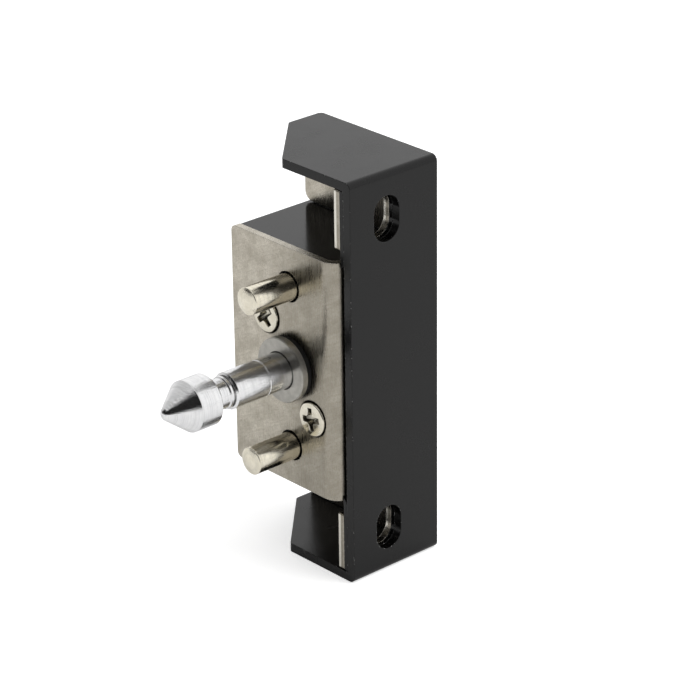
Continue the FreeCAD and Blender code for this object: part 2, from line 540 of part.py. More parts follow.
def make_cover():
    """Black cover: four walls and two lugs folded from one thin sheet."""
    body = new_body("housing_cover")
    sketch = new_sketch(body, "section", "XZ_Plane", "-(%s + sizes.sheet_gap)" % FRONT_EDGE)
    outline(sketch, [
        ("-" + LUG_FACE, EAR_TOP), ("-" + LUG_BACK, EAR_TOP), ("-" + LUG_BACK, COVER_TOP),
        ("-" + COVER_REACH, COVER_TOP), ("-" + COVER_REACH, "-" + COVER_TOP),
        ("-" + LUG_BACK, "-" + COVER_TOP), ("-" + LUG_BACK, "-" + EAR_TOP), ("-" + LUG_FACE, "-" + EAR_TOP),
        ("-" + LUG_FACE, "-" + COVER_INSIDE), ("-" + WALL_INSIDE, "-" + COVER_INSIDE),
        ("-" + WALL_INSIDE, COVER_INSIDE), ("-" + LUG_FACE, COVER_INSIDE),
    ])
    pad(body, sketch, "%s - %s - sizes.sheet_gap" % (REAR_EDGE, FRONT_EDGE), forward=False)
    rear = new_sketch(body, "rear_wall", "XZ_Plane", "-" + BACK_WALL)
    rectangle(rear, "-%s - sizes.cover_sheet / 2" % WALL_INSIDE, "-%s - sizes.fold_gap" % EAR_FACE,
              "-(%s - sizes.fold_gap)" % COVER_INSIDE, "%s - sizes.fold_gap" % COVER_INSIDE)
    pad(body, rear, "sizes.cover_sheet", forward=False)
    top, inside, reach = value(COVER_TOP), value(COVER_INSIDE), value(COVER_REACH)
    face, back = -value(LUG_FACE), -value(LUG_BACK)
    names = edges_at(body, x=face, z=inside) + edges_at(body, x=face, z=-inside)
    round_edges(body, names, "sizes.cover_lug_bend", "lug_bend_out")
    names = edges_at(body, x=back, z=top) + edges_at(body, x=back, z=-top)
    round_edges(body, names, "sizes.cover_lug_bend - sizes.cover_sheet", "lug_bend_in")
    names = edges_at(body, x=-reach, z=top) + edges_at(body, x=-reach, z=-top)
    round_edges(body, names, "sizes.cover_bend", "long_bends")
    names = edges_at(body, x=-reach, y=value(REAR_EDGE))
    round_edges(body, names, "sizes.cover_sheet / 2", "rear_bend")
    for side, sign in (("upper", 1), ("lower", -1)):
        add_chassis_slot(body, side, sign)
    slot_cuts(body, "slot", "-sizes.bracket_sheet + 1", "sizes.cover_sheet + 1.5")
    window = new_sketch(body, "window", "XZ_Plane", "-" + BACK_WALL)
    half = "(sizes.socket_width / 2 + sizes.window_gap)"
    rectangle(window, "-%s" % BOARD_FACE, "-(%s - sizes.socket_rise - sizes.window_gap)" % BOARD_FACE,
              "%s - %s" % (SOCKET_MIDDLE, half), "%s + %s" % (SOCKET_MIDDLE, half))
    pocket(body, window, "sizes.cover_sheet + 1")
    return body


def add_chassis_slot(body, side, sign):
    """Slot in a cover wall that lets the chassis bend and the strip of its ear pass."""
    level = "%d * %s" % (sign, EAR_BOTTOM)
    gap = "sizes.fold_gap"
    inner = "(%s + sizes.chassis_bend - sizes.chassis_sheet + %s)" % (EAR_BACK, gap)
    cut = new_sketch(body, side + "_slot", "XY_Plane", level)
    outline(cut, [
        ("-%s" % inner, FRONT_EDGE + " - 1"), ("-%s + sizes.sheet_gap / 2" % EAR_FACE, FRONT_EDGE + " - 1"),
        ("-%s + sizes.sheet_gap / 2" % EAR_FACE, "%s + %s" % (NECK_BACK, gap)),
        ("-%s - %s" % (EAR_BACK, gap), "%s + %s" % (NECK_BACK, gap)),
        ("-%s - %s" % (EAR_BACK, gap), FRONT_EDGE + " + " + gap),
        ("-%s" % inner, FRONT_EDGE + " + " + gap),
    ])
    pocket(body, cut, "%s - %s + 1" % (EAR_BOTTOM, COVER_INSIDE), forward=sign < 0)
    corner = edges_at(body, x=-value("%s + %s" % (EAR_BACK, gap)), y=value("%s + %s" % (FRONT_EDGE, gap)))
    bend = "sizes.chassis_bend - sizes.chassis_sheet - " + gap
    round_edges(body, on_side(body, corner, sign), bend, side + "_slot_bend")


def make_carrier():
    """Cast block behind the front plate that guides the bush and both ejector pins."""
    body = new_body("carrier_block", across="-" + AXIS_INSET)
    sketch = new_sketch(body, "block", "XZ_Plane", "-" + BLOCK_FRONT)
    rectangle(sketch, "-" + HALF_WIDTH, HALF_WIDTH, "-" + BLOCK_TOP, BLOCK_TOP)
    pad(body, sketch, "sizes.carrier_depth", forward=False)
    x, z = value(HALF_WIDTH), value(BLOCK_TOP)
    names = []
    for sign in (1, -1):
        names += edges_at(body, x=x, z=sign * z) + edges_at(body, x=-x, z=sign * z)
    round_edges(body, names, "sizes.carrier_corner", "corners")
    seat = new_sketch(body, "bush_seat", "XZ_Plane", "-" + BLOCK_FRONT)
    circle(seat, "0", "0", BUSH_RADIUS + " + sizes.seat_clearance")
    pocket(body, seat, "sizes.bush_depth")
    bores = new_sketch(body, "bores", "XZ_Plane", "-" + BLOCK_FRONT)
    circle(bores, "0", "0", PLUNGER_BORE + " + sizes.seat_clearance")
    for sign in ("1", "-1"):
        circle(bores, "0", "%s * %s" % (sign, EJECTOR_UP), "sizes.ejector_radius + sizes.run_clearance")
    screw_hole = SINK_RADIUS + " - sizes.chassis_sheet + sizes.seat_clearance"
    circle(bores, "sizes.screw_across", "-sizes.screw_up", screw_hole)
    circle(bores, "-sizes.screw_across", "sizes.screw_up", screw_hole)
    pocket(body, bores, "sizes.carrier_depth")
    for name, sign in (("upper", 1), ("lower", -1)):
        core = new_sketch(body, name + "_core", "XZ_Plane", "-" + BLOCK_REAR)
        outer = "%d * (%s - sizes.pocket_wall)" % (sign, HALF_WIDTH)
        inner = "%d * (sizes.ejector_radius + sizes.pocket_wall)" % sign
        low = "%d * (%s + sizes.pocket_wall)" % (sign, YOKE_TOP)
        high = "%d * (%s - sizes.pocket_wall)" % (sign, BLOCK_TOP)
        rectangle(core, inner, outer, low, high)
        pocket(body, core, "sizes.carrier_pocket", forward=True)
    return body


def make_bush():
    """Flanged guide bush, the grey disc round the bolt."""
    body = new_body("guide_bush", across="-" + AXIS_INSET)
    bore = "sizes.bolt_radius + sizes.run_clearance"
    flange_back = "(%s + sizes.bush_flange)" % BUSH_FACE
    revolve(body, [
        (bore + " + sizes.edge_break / 2", BUSH_FACE),
        (BUSH_FLANGE_RADIUS + " - sizes.edge_break / 2", BUSH_FACE),
        (BUSH_FLANGE_RADIUS, BUSH_FACE + " + sizes.edge_break / 2"),
        (BUSH_FLANGE_RADIUS, flange_back), (BUSH_RADIUS, flange_back),
        (BUSH_RADIUS, BUSH_REAR), (bore, BUSH_REAR), (bore, BUSH_FACE + " + sizes.edge_break / 2"),
    ])
    return body


def make_ring(name, inner, outer, front, rear, across="-" + AXIS_INSET, up="0"):
    """Plain turned ring between two places along Y."""
    body = new_body(name, across=across, up=up)
    revolve(body, [(inner, front), (outer, front), (outer, rear), (inner, rear)])
    return body


def make_bolt():
    """Pointed bolt with a catch groove behind its head and a spigot for the plunger."""
    body = new_body("bolt", across="-" + AXIS_INSET)
    shoulder = "(%s - sizes.bolt_shank)" % BUSH_FACE
    head_back = "(%s - sizes.neck_length)" % shoulder
    head_front = "(%s - sizes.head_length)" % head_back
    tip = "(%s - sizes.point_length)" % head_front
    rear = "(%s - sizes.end_play)" % PLUNGER_FRONT
    line = "(%s - sizes.ring_groove)" % BUSH_FACE
    cut = "sizes.edge_break"
    ring_start = shoulder + " - sizes.neck_ring_start"
    ring_end = shoulder + " - sizes.neck_ring_end"
    ring = "sizes.neck_radius + sizes.neck_ring"
    under = "sizes.neck_radius - sizes.undercut"
    shank, groove = "sizes.bolt_radius", "sizes.bolt_radius - sizes.line_depth"
    revolve(body, [
        ("0", tip), ("sizes.point_flat", tip),
        ("sizes.head_radius", head_front), ("sizes.head_radius", "%s - %s" % (head_back, cut)),
        ("sizes.head_radius - " + cut, head_back), ("sizes.neck_radius", head_back),
        ("sizes.neck_radius", ring_start), (ring, ring_start + " + sizes.neck_ring"),
        (ring, ring_end), (under, ring_end), (under, shoulder), ("%s - %s" % (shank, cut), shoulder),
        (shank, "%s + %s" % (shoulder, cut)), (shank, line + " - sizes.line_width"),
        (groove, line + " - sizes.line_width + sizes.line_depth"),
        (groove, line + " + sizes.line_width - sizes.line_depth"), (shank, line + " + sizes.line_width"),
        (shank, rear), ("sizes.spigot_radius", rear), ("sizes.spigot_radius", SPIGOT_END), ("0", SPIGOT_END),
    ])
    names = rims_at(body, value("sizes.point_flat"), value(tip))
    round_edges(body, names, "sizes.point_round", "tip")
    return body


def make_plunger():
    """Soft iron plunger on the bolt's spigot, with a seat for the return spring."""
    body = new_body("plunger", across="-" + AXIS_INSET)
    spigot_bore = "sizes.spigot_radius + sizes.seat_clearance"
    cut = "sizes.edge_break"
    revolve(body, [
        ("0", SPIGOT_BORE_END), (spigot_bore, SPIGOT_BORE_END), (spigot_bore, PLUNGER_FRONT),
        ("%s - %s" % (PLUNGER_RADIUS, cut), PLUNGER_FRONT),
        (PLUNGER_RADIUS, "%s + %s" % (PLUNGER_FRONT, cut)), (PLUNGER_RADIUS, "%s - %s" % (PLUNGER_REAR, cut)),
        ("%s - %s" % (PLUNGER_RADIUS, cut), PLUNGER_REAR),
        ("sizes.return_seat", PLUNGER_REAR), ("sizes.return_seat", PLUNGER_SEAT), ("0", PLUNGER_SEAT),
    ])
    return body


def make_yoke():
    """Folded iron yoke round the coil: two cheeks and the web that joins them."""
    body = new_body("solenoid_yoke", across="-" + AXIS_INSET)
    sketch = new_sketch(body, "section", "XY_Plane", "-" + YOKE_TOP)
    web = HALF_WIDTH + " - sizes.yoke_sheet"
    outline(sketch, [
        ("-" + HALF_WIDTH, BLOCK_REAR), (HALF_WIDTH, BLOCK_REAR), (HALF_WIDTH, YOKE_REAR),
        ("-" + HALF_WIDTH, YOKE_REAR), ("-" + HALF_WIDTH, YOKE_INNER_REAR), (web, YOKE_INNER_REAR),
        (web, YOKE_INNER_FRONT), ("-" + HALF_WIDTH, YOKE_INNER_FRONT),
    ])
    pad(body, sketch, "sizes.yoke_height")
    x = value(HALF_WIDTH)
    names = edges_at(body, x=x, y=value(YOKE_REAR)) + edges_at(body, x=x, y=value(BLOCK_REAR))
    round_edges(body, names, "sizes.yoke_bend", "bends_out")
    x = value(web)
    names = edges_at(body, x=x, y=value(YOKE_INNER_REAR)) + edges_at(body, x=x, y=value(YOKE_INNER_FRONT))
    round_edges(body, names, "sizes.yoke_bend - sizes.yoke_sheet", "bends_in")
    holes = new_sketch(body, "front_holes", "XZ_Plane", "-" + BLOCK_REAR)
    circle(holes, "0", "0", PLUNGER_BORE + " + sizes.seat_clearance")
    circle(holes, "sizes.screw_across", "-sizes.screw_up", "sizes.screw_radius + sizes.seat_clearance")
    circle(holes, "-sizes.screw_across", "sizes.screw_up", "sizes.screw_radius + sizes.seat_clearance")
    pocket(body, holes, "sizes.yoke_sheet")
    rivet = new_sketch(body, "rivet_hole", "XZ_Plane", "-" + YOKE_INNER_REAR)
    circle(rivet, "0", "0", "sizes.core_rivet + sizes.seat_clearance")
    pocket(body, rivet, "sizes.yoke_sheet")
    return body


def make_bobbin():
    """Moulded bobbin between the yoke's cheeks."""
    body = new_body("coil_bobbin", across="-" + AXIS_INSET)
    front = "(%s + sizes.end_play)" % YOKE_INNER_FRONT
    rear = "(%s - sizes.end_play)" % YOKE_INNER_REAR
    tube = PLUNGER_BORE + " + sizes.bobbin_wall"
    revolve(body, [
        (PLUNGER_BORE, front), ("sizes.bobbin_radius", front),
        ("sizes.bobbin_radius", front + " + sizes.bobbin_flange"), (tube, front + " + sizes.bobbin_flange"),
        (tube, rear + " - sizes.bobbin_flange"), ("sizes.bobbin_radius", rear + " - sizes.bobbin_flange"),
        ("sizes.bobbin_radius", rear), (PLUNGER_BORE, rear),
    ])
    return body


def make_core():
    """Fixed core in the bobbin's rear end, riveted through the yoke."""
    body = new_body("fixed_core", across="-" + AXIS_INSET)
    radius = PLUNGER_BORE + " - sizes.seat_clearance"
    revolve(body, [
        ("sizes.return_seat", CORE_FRONT), (radius, CORE_FRONT), (radius, CORE_REAR),
        ("sizes.core_rivet", CORE_REAR), ("sizes.core_rivet", YOKE_REAR), ("0", YOKE_REAR),
        ("0", CORE_SEAT), ("sizes.return_seat", CORE_SEAT),
    ])
    return body


def make_spring(name, wire, radius, turns, front, rear, up):
    """Compression spring with closed end turns, wound by a formula along Y."""
    closed = CLOSED_TURNS * wire * 1.02
    low, high = front + wire / 2, rear - wire / 2
    steps = int(round(turns * SPRING_POINTS_PER_TURN))
    points = []
    for step in range(steps + 1):
        turn = turns * step / steps
        if turn < CLOSED_TURNS:
            along = low + closed * turn / CLOSED_TURNS
        elif turn > turns - CLOSED_TURNS:
            along = high - closed * (turns - turn) / CLOSED_TURNS
        else:
            share = (turn - CLOSED_TURNS) / (turns - 2 * CLOSED_TURNS)
            along = low + closed + share * (high - low - 2 * closed)
        angle = 2 * math.pi * turn
        points.append(FreeCAD.Vector(radius * math.cos(angle), along, radius * math.sin(angle)))
    line = Part.BSplineCurve()
    line.interpolate(points)
    path = Part.Wire([line.toShape()])
    tangent = line.tangent(line.FirstParameter)[0]
    section = Part.Wire([Part.makeCircle(wire / 2, points[0], tangent)])
    spring = doc.addObject("Part::Feature", name)
    spring.Label = name
    spring.Shape = path.makePipeShell([section], True, True)
    spring.Placement = FreeCAD.Placement(
        FreeCAD.Vector(-value(AXIS_INSET), 0, up), FreeCAD.Rotation())
    return spring


def make_springs():
    """The return spring of the bolt and the springs of both ejector pins."""
    play = value("sizes.end_play")
    springs = [make_spring(
        "return_spring", value("sizes.return_wire"), value("sizes.return_radius"),
        value("sizes.return_turns"), value(PLUNGER_SEAT) + play, value(CORE_SEAT) - play, 0)]
    for side, sign in (("upper", 1), ("lower", -1)):
        springs.append(make_spring(
            side + "_ejector_spring", value("sizes.ejector_wire"), value(EJECTOR_COIL),
            value("sizes.ejector_turns"), value(CLIP_REAR) + play, value(CUP_SEAT) - play,
            sign * value(EJECTOR_UP)))
    return springs


def make_ejector(side, sign):
    """One ejector pin with a groove for its clip."""
    up = "%d * %s" % (sign, EJECTOR_UP)
    body = new_body(side + "_ejector_pin", across="-" + AXIS_INSET, up=up)
    tip = "(%s - sizes.ejector_reach)" % PLATE_FACE
    tail = EJECTOR_TAIL
    cut = "sizes.edge_break"
    profile = [
        ("0", tip), ("sizes.ejector_radius - %s / 2" % cut, tip),
        ("sizes.ejector_radius", "%s + %s / 2" % (tip, cut)),
        ("sizes.ejector_radius", CLIP_FRONT), (CLIP_GROOVE, CLIP_FRONT),
        (CLIP_GROOVE, CLIP_REAR), ("sizes.ejector_radius", CLIP_REAR),
        ("sizes.ejector_radius", "%s - %s" % (tail, cut)), ("sizes.ejector_radius - " + cut, tail),
    ]
    if sign > 0:
        magnet_bore = "sizes.magnet_radius + sizes.seat_clearance"
        floor = "(%s - sizes.magnet_length)" % tail
        profile += [(magnet_bore, tail), (magnet_bore, floor), ("0", floor)]
    else:
        profile += [("0", tail)]
    revolve(body, profile)
    return body


def make_clip(side, sign):
    """Open retaining clip behind the carrier block."""
    up = "%d * %s" % (sign, EJECTOR_UP)
    body = new_body(side + "_ejector_clip", across="-" + AXIS_INSET, up=up)
    inner = CLIP_GROOVE + " + sizes.seat_clearance"
    outer = "sizes.ejector_radius + sizes.clip_step"
    front, rear = CLIP_FRONT + " + sizes.clip_play", CLIP_REAR + " - sizes.clip_play"
    revolve(body, [(inner, front), (outer, front), (outer, rear), (inner, rear)], "sizes.clip_sweep")
    return body


def make_cup(side, sign):
    """Moulded cup on the cover's rear wall that seats an ejector spring."""
    up = "%d * %s" % (sign, EJECTOR_UP)
    body = new_body(side + "_spring_cup", across="-" + AXIS_INSET, up=up)
    rim = "(%s - sizes.cup_height)" % BACK_WALL
    inner = CUP_RADIUS + " - sizes.cup_wall"
    revolve(body, [
        ("0", CUP_SEAT), (inner, CUP_SEAT), (inner, rim), (CUP_RADIUS, rim), (CUP_RADIUS, BACK_WALL),
        ("0", BACK_WALL),
    ])
    return body


def make_plate_screw(side, sign):
    """Countersunk screw with a cross recess that holds the front plate to block and yoke."""
    body = new_body(side + "_plate_screw", across="-%s - %d * sizes.screw_across" % (AXIS_INSET, sign),
                    up="%d * sizes.screw_up" % sign)
    face = "(%s + sizes.screw_sink)" % PLATE_FACE
    end = YOKE_INNER_FRONT
    revolve(body, [
        ("0", face), ("sizes.screw_head", face),
        ("sizes.screw_radius", face + " + sizes.screw_head - sizes.screw_radius"),
        ("sizes.screw_radius", end + " - sizes.edge_break"),
        ("sizes.screw_radius - sizes.edge_break", end), ("0", end),
    ])
    cross = new_sketch(body, "recess", "XZ_Plane", "-" + face)
    arm, half = "sizes.recess_reach", "sizes.recess_width / 2"
    outline(cross, [
        (half, half), (half, arm), ("-" + half, arm), ("-" + half, half), ("-" + arm, half),
        ("-" + arm, "-" + half), ("-" + half, "-" + half), ("-" + half, "-" + arm), (half, "-" + arm),
        (half, "-" + half), (arm, "-" + half), (arm, half),
    ])
    pocket(body, cross, "sizes.recess_depth")
    return body


def make_board():
    """Circuit board beside the solenoid, with holes for its screws and the contacts."""
    body = new_body("circuit_board")
    sketch = new_sketch(body, "outline", "YZ_Plane", "-" + BOARD_BACK)
    rectangle(sketch, BOARD_FRONT, BOARD_REAR, "-" + BOARD_TOP, BOARD_TOP)
    pad(body, sketch, "sizes.board_sheet")
    holes = new_sketch(body, "holes", "YZ_Plane", "-" + BOARD_FACE)
    for sign in ("1", "-1"):
        circle(holes, SPACER_ALONG, "%s * %s" % (sign, SPACER_UP),
               "sizes.board_screw + 2 * sizes.seat_clearance")
    pocket(body, holes, "sizes.board_sheet")
    half = "(sizes.contact_size / 2 + sizes.seat_clearance)"
    for number in range(CONTACT_COUNT):
        leg = new_sketch(body, "leg_%d" % number, "YZ_Plane", "-" + BOARD_FACE)
        place = contact_place(number)
        middle = "(%s + sizes.contact_size / 2)" % CONTACT_LEG
        rectangle(leg, "%s - %s" % (middle, half), "%s + %s" % (middle, half),
                  "%s - %s" % (place, half), "%s + %s" % (place, half))
        pocket(body, leg, "sizes.board_sheet")
    return body


def contact_place(number):
    """Height of one contact pin."""
    step = number - (CONTACT_COUNT - 1) / 2
    return "(%s + %s * sizes.contact_pitch)" % (SOCKET_MIDDLE, step)


def make_socket():
    """Moulded cable socket that opens through the cover's rear wall."""
    body = new_body("connector_shell")
    half = "sizes.socket_width / 2"
    top = "(%s - sizes.socket_rise)" % BOARD_FACE
    sketch = new_sketch(body, "block", "XZ_Plane", "-" + SOCKET_FRONT)
    rectangle(sketch, "-" + BOARD_FACE, "-" + top, "%s - %s" % (SOCKET_MIDDLE, half),
              "%s + %s" % (SOCKET_MIDDLE, half))
    pad(body, sketch, "sizes.socket_length", forward=False)
    cavity = new_sketch(body, "cavity", "XZ_Plane", "-" + CAVITY_FLOOR)
    wall = "sizes.socket_wall"
    rectangle(cavity, "-%s + %s" % (BOARD_FACE, wall), "-%s - %s" % (top, wall),
              "%s - %s + %s" % (SOCKET_MIDDLE, half, wall), "%s + %s - %s" % (SOCKET_MIDDLE, half, wall))
    pocket(body, cavity, "sizes.socket_depth")
    side = "(sizes.contact_size / 2 + sizes.seat_clearance)"
    for number in range(CONTACT_COUNT):
        hole = new_sketch(body, "hole_%d" % number, "XZ_Plane", "-" + SOCKET_FRONT)
        place = contact_place(number)
        rectangle(hole, "-%s - %s" % (CONTACT_ROW, side), "-%s + %s" % (CONTACT_ROW, side),
                  "%s - %s" % (place, side), "%s + %s" % (place, side))
        pocket(body, hole, "sizes.socket_length - sizes.socket_depth")
    return body


def make_contacts():
    """Bent contact pins, a row of separate solids in one sub-part."""
    thick = value("sizes.contact_size")
    row, leg = -value(CONTACT_ROW), value(CONTACT_LEG)
    end = value(CAVITY_FLOOR + " + sizes.contact_reach")
    foot = -value(BOARD_BACK + " + sizes.contact_tail")
    solids = []
    for number in range(CONTACT_COUNT):
        low = value(contact_place(number)) - thick / 2
        corners = [
            (foot, leg), (foot, leg + thick), (row - thick / 2, leg + thick), (row - thick / 2, end),
            (row + thick / 2, end), (row + thick / 2, leg), (foot, leg),
        ]
        wire = Part.makePolygon([FreeCAD.Vector(x, y, low) for x, y in corners])
        solids.append(Part.Face(wire).extrude(FreeCAD.Vector(0, 0, thick)))
    contacts = doc.addObject("Part::Feature", "connector_pins")
    contacts.Label = "connector_pins"
    contacts.Shape = Part.makeCompound(solids)
    return contacts


def make_board_part(name, width, height, rise, along, up):
    """Rectangular component on the face of the circuit board."""
    body = new_body(name)
    sketch = new_sketch(body, "outline", "YZ_Plane", "-" + BOARD_FACE)
    rectangle(sketch, "%s - %s / 2" % (along, width), "%s + %s / 2" % (along, width),
              "%s - %s / 2" % (up, height), "%s + %s / 2" % (up, height))
    pad(body, sketch, rise)
    return body


def make_capacitor():
    """Round smoothing capacitor that stands on the circuit board."""
    body = new_body("smoothing_capacitor")
    sketch = new_sketch(body, "can", "YZ_Plane", "-" + BOARD_FACE)
    circle(sketch, "sizes.capacitor_along", BOARD_TOP + " - sizes.capacitor_inset", "sizes.capacitor_radius")
    pad(body, sketch, "sizes.capacitor_rise")
    return body


def make_spacer(side, sign):
    """Tubular spacer between the cover's side wall and the circuit board."""
    body = new_body(side + "_board_spacer")
    sketch = new_sketch(body, "tube", "YZ_Plane", "-" + WALL_INSIDE)
    along, up = SPACER_ALONG, "%d * %s" % (sign, SPACER_UP)
    circle(sketch, along, up, "sizes.spacer_radius")
    pad(body, sketch, "sizes.board_stand")
    bore = new_sketch(body, "bore", "YZ_Plane", "-" + BOARD_BACK)
    circle(bore, along, up, "sizes.board_screw + sizes.seat_clearance")
    pocket(body, bore, "sizes.board_stand")
    return body


def make_board_screw(side, sign):
    """Small pan-head screw that holds the circuit board on its spacer."""
    body = new_body(side + "_board_screw")
    along, up = SPACER_ALONG, "%d * %s" % (sign, SPACER_UP)
    head = new_sketch(body, "head", "YZ_Plane", "-" + BOARD_FACE)
    circle(head, along, up, "sizes.board_head")
    pad(body, head, "sizes.board_head_rise")
    shank = new_sketch(body, "shank", "YZ_Plane", "-" + BOARD_FACE)
    circle(shank, along, up, "sizes.board_screw")
    pad(body, shank, "sizes.board_sheet + sizes.board_stand - sizes.end_play", forward=False)
    return body


def make_all():
    """Build every sub-part and list them."""
    parts = [make_bracket(), make_chassis(), make_cover(), make_carrier(), make_bush()]
    parts.append(make_ring(
        "buffer_ring", BUSH_RADIUS + " + sizes.seat_clearance", BUSH_FLANGE_RADIUS + " - sizes.buffer_inset",
        "%s + sizes.bush_flange" % BUSH_FACE, PLATE_FACE))
    parts.append(make_ring(
        "stop_washer", "sizes.bolt_radius + 2 * sizes.run_clearance", PLUNGER_RADIUS,
        WASHER_FRONT, "%s + sizes.washer_height" % WASHER_FRONT))
    parts += [make_bolt(), make_plunger(), make_yoke(), make_bobbin(), make_core()]
    parts.append(make_ring(
        "coil_winding", PLUNGER_BORE + " + sizes.bobbin_wall", "sizes.bobbin_radius - sizes.winding_inset",
        "%s + sizes.end_play + sizes.bobbin_flange" % YOKE_INNER_FRONT,
        "%s - sizes.end_play - sizes.bobbin_flange" % YOKE_INNER_REAR))
    parts += make_springs()
    for side, sign in (("upper", 1), ("lower", -1)):
        parts.append(make_ejector(side, sign))
        parts.append(make_clip(side, sign))
        parts.append(make_cup(side, sign))
        parts.append(make_plate_screw(side, sign))
        parts.append(make_spacer(side, sign))
        parts.append(make_board_screw(side, sign))
    parts.append(make_ring(
        "sensor_magnet", "0", "sizes.magnet_radius", "%s - sizes.magnet_length" % EJECTOR_TAIL, EJECTOR_TAIL,
        up=EJECTOR_UP))
    parts += [make_board(), make_socket(), make_contacts(), make_capacitor()]
    parts.append(make_board_part(
        "controller_chip", "sizes.chip_width", "sizes.chip_length", "sizes.chip_rise",
        "sizes.chip_along", "sizes.chip_up"))
    parts.append(make_board_part(
        "driver_transistor", "sizes.transistor_width", "sizes.transistor_width",
        "sizes.transistor_rise", "sizes.transistor_along", "sizes.transistor_up"))
    parts.append(make_board_part(
        "door_sensor", "sizes.sensor_width", "sizes.sensor_thickness", "sizes.sensor_rise",
        EJECTOR_TAIL, YOKE_TOP + " + sizes.sensor_gap"))
    return parts


def check_and_write(parts):
    """Stop on any failed object, then write one file for each sub-part."""
    doc.recompute()
    for item in doc.Objects:
        if "Invalid" in item.State or "Error" in item.State:
            raise RuntimeError("%s failed: %s" % (item.Name, item.State))
    os.makedirs("parts", exist_ok=True)
    for item in parts:
        if item.Shape.isNull() or not item.Shape.isValid():
            raise RuntimeError("%s has no valid shape" % item.Label)
        box = item.Shape.BoundBox
        print("%-24s solids %d  volume %9.2f  x %.2f %.2f  y %.2f %.2f  z %.2f %.2f" % (
            item.Label, len(item.Shape.Solids), item.Shape.Volume,
            box.XMin, box.XMax, box.YMin, box.YMax, box.ZMin, box.ZMax))
        item.Shape.exportStep(os.path.join("parts", item.Label + ".step"))


check_and_write(make_all())
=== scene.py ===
# %% [markdown]
# An electronic cabinet lock. A black folded bracket carries a small folded box with a solenoid in it,
# and a pointed bolt and two spring-loaded ejector pins stand out of its nickel-plated front plate.
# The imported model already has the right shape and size, so this lesson is about finish and light.
# We load it first. Everything is in metres, Z is up, and the bolt points to -Y.
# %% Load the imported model
import math

import bmesh
import bpy
from mathutils import Matrix, Vector


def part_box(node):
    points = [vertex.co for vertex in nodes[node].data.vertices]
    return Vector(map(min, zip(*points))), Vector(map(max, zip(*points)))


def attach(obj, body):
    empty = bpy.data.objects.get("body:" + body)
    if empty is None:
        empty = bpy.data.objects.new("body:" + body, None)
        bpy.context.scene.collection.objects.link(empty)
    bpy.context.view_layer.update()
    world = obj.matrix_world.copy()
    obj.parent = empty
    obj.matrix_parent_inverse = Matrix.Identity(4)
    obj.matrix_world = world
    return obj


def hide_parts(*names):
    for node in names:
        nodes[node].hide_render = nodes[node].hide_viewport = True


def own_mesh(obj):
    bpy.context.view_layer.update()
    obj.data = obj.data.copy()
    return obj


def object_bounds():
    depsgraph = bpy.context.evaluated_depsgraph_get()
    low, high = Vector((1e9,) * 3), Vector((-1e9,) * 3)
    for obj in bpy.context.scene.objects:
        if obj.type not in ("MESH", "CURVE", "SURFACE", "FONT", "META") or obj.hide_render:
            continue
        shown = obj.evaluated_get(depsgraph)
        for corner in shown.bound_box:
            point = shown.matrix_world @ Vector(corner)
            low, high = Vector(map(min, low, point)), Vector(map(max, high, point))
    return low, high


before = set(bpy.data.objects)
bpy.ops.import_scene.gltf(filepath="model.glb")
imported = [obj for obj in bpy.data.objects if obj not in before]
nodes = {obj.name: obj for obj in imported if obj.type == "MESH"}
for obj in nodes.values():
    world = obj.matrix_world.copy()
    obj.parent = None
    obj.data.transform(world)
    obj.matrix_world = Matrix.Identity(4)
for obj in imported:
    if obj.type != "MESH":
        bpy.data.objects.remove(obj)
cad_low, cad_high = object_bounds()
MM = 0.001
print("loaded", len(nodes), "pieces")

# %% [markdown]
# Two small helpers carry the whole file. We pick colours on a screen, so they are written as sRGB hex,
# but Blender wants linear light: one function turns the first into the second with the sRGB curve.
# A material is a graph, so the other function adds one node. It takes a dictionary of inputs, in which
# a hex text is a colour, a socket is linked, and anything else is simply the value. The Mix node has
# its inputs by number: 0 is the share, 2 and 3 are two plain numbers, and 6 and 7 are two colours.
# %% Colours and nodes
def linear(code):
    """Turn an sRGB hex colour such as c8c2b4 into linear RGBA."""
    channels = [int(code[i:i + 2], 16) / 255 for i in (0, 2, 4)]
    curve = [c / 12.92 if c <= 0.04045 else ((c + 0.055) / 1.055) ** 2.4 for c in channels]
    return (*curve, 1.0)


def add(tree, kind, inputs=None, out=0, **settings):
    """Add one node with its settings, values and links, and give back one of its outputs."""
    node = tree.nodes.new("ShaderNode" + kind)
    for key, value in settings.items():
        setattr(node, key, value)
    for key, value in (inputs or {}).items():
        if isinstance(value, bpy.types.NodeSocket):
            tree.links.new(value, node.inputs[key])
        else:
            node.inputs[key].default_value = linear(value) if isinstance(value, str) else value
    return node.outputs[out] if node.outputs else node


print("linear mid grey is %.3f" % linear("808080")[0])

# %% [markdown]
# Every finish starts from the same four things: the place of each point in millimetres, a normal
# softened at the edges, a mask of those edges, and an empty tree.
# Real edges are never razor sharp. The Bevel node bends the normal close to an edge so that it catches
# light, and where that bent normal leaves the true one we know that we are on an edge. The two are
# compared by their dot product, which is 1 where they agree.
# %% A common start for each finish
EDGE_STARTS = 0.995
EDGE_IS_FULL = 0.85


def start_finish(name, edge):
    """New material, its tree, the place in mm, the normal softened over edge mm, and the edge mask."""
    material = bpy.data.materials.new(name)
    material.use_nodes = True
    tree = material.node_tree
    tree.nodes.clear()
    place = add(tree, "TexCoord", out="Object")
    grid = add(tree, "VectorMath", {0: place, "Scale": 1 / MM}, operation="SCALE")
    soft = add(tree, "Bevel", {"Radius": edge * MM}, samples=4)
    true = add(tree, "NewGeometry", out="True Normal")
    same = add(tree, "VectorMath", {0: soft, 1: true}, out="Value", operation="DOT_PRODUCT")
    mask = add(tree, "MapRange", {"Value": same, "From Min": EDGE_STARTS, "From Max": EDGE_IS_FULL})
    return material, tree, grid, soft, mask


print("each finish starts from millimetres")

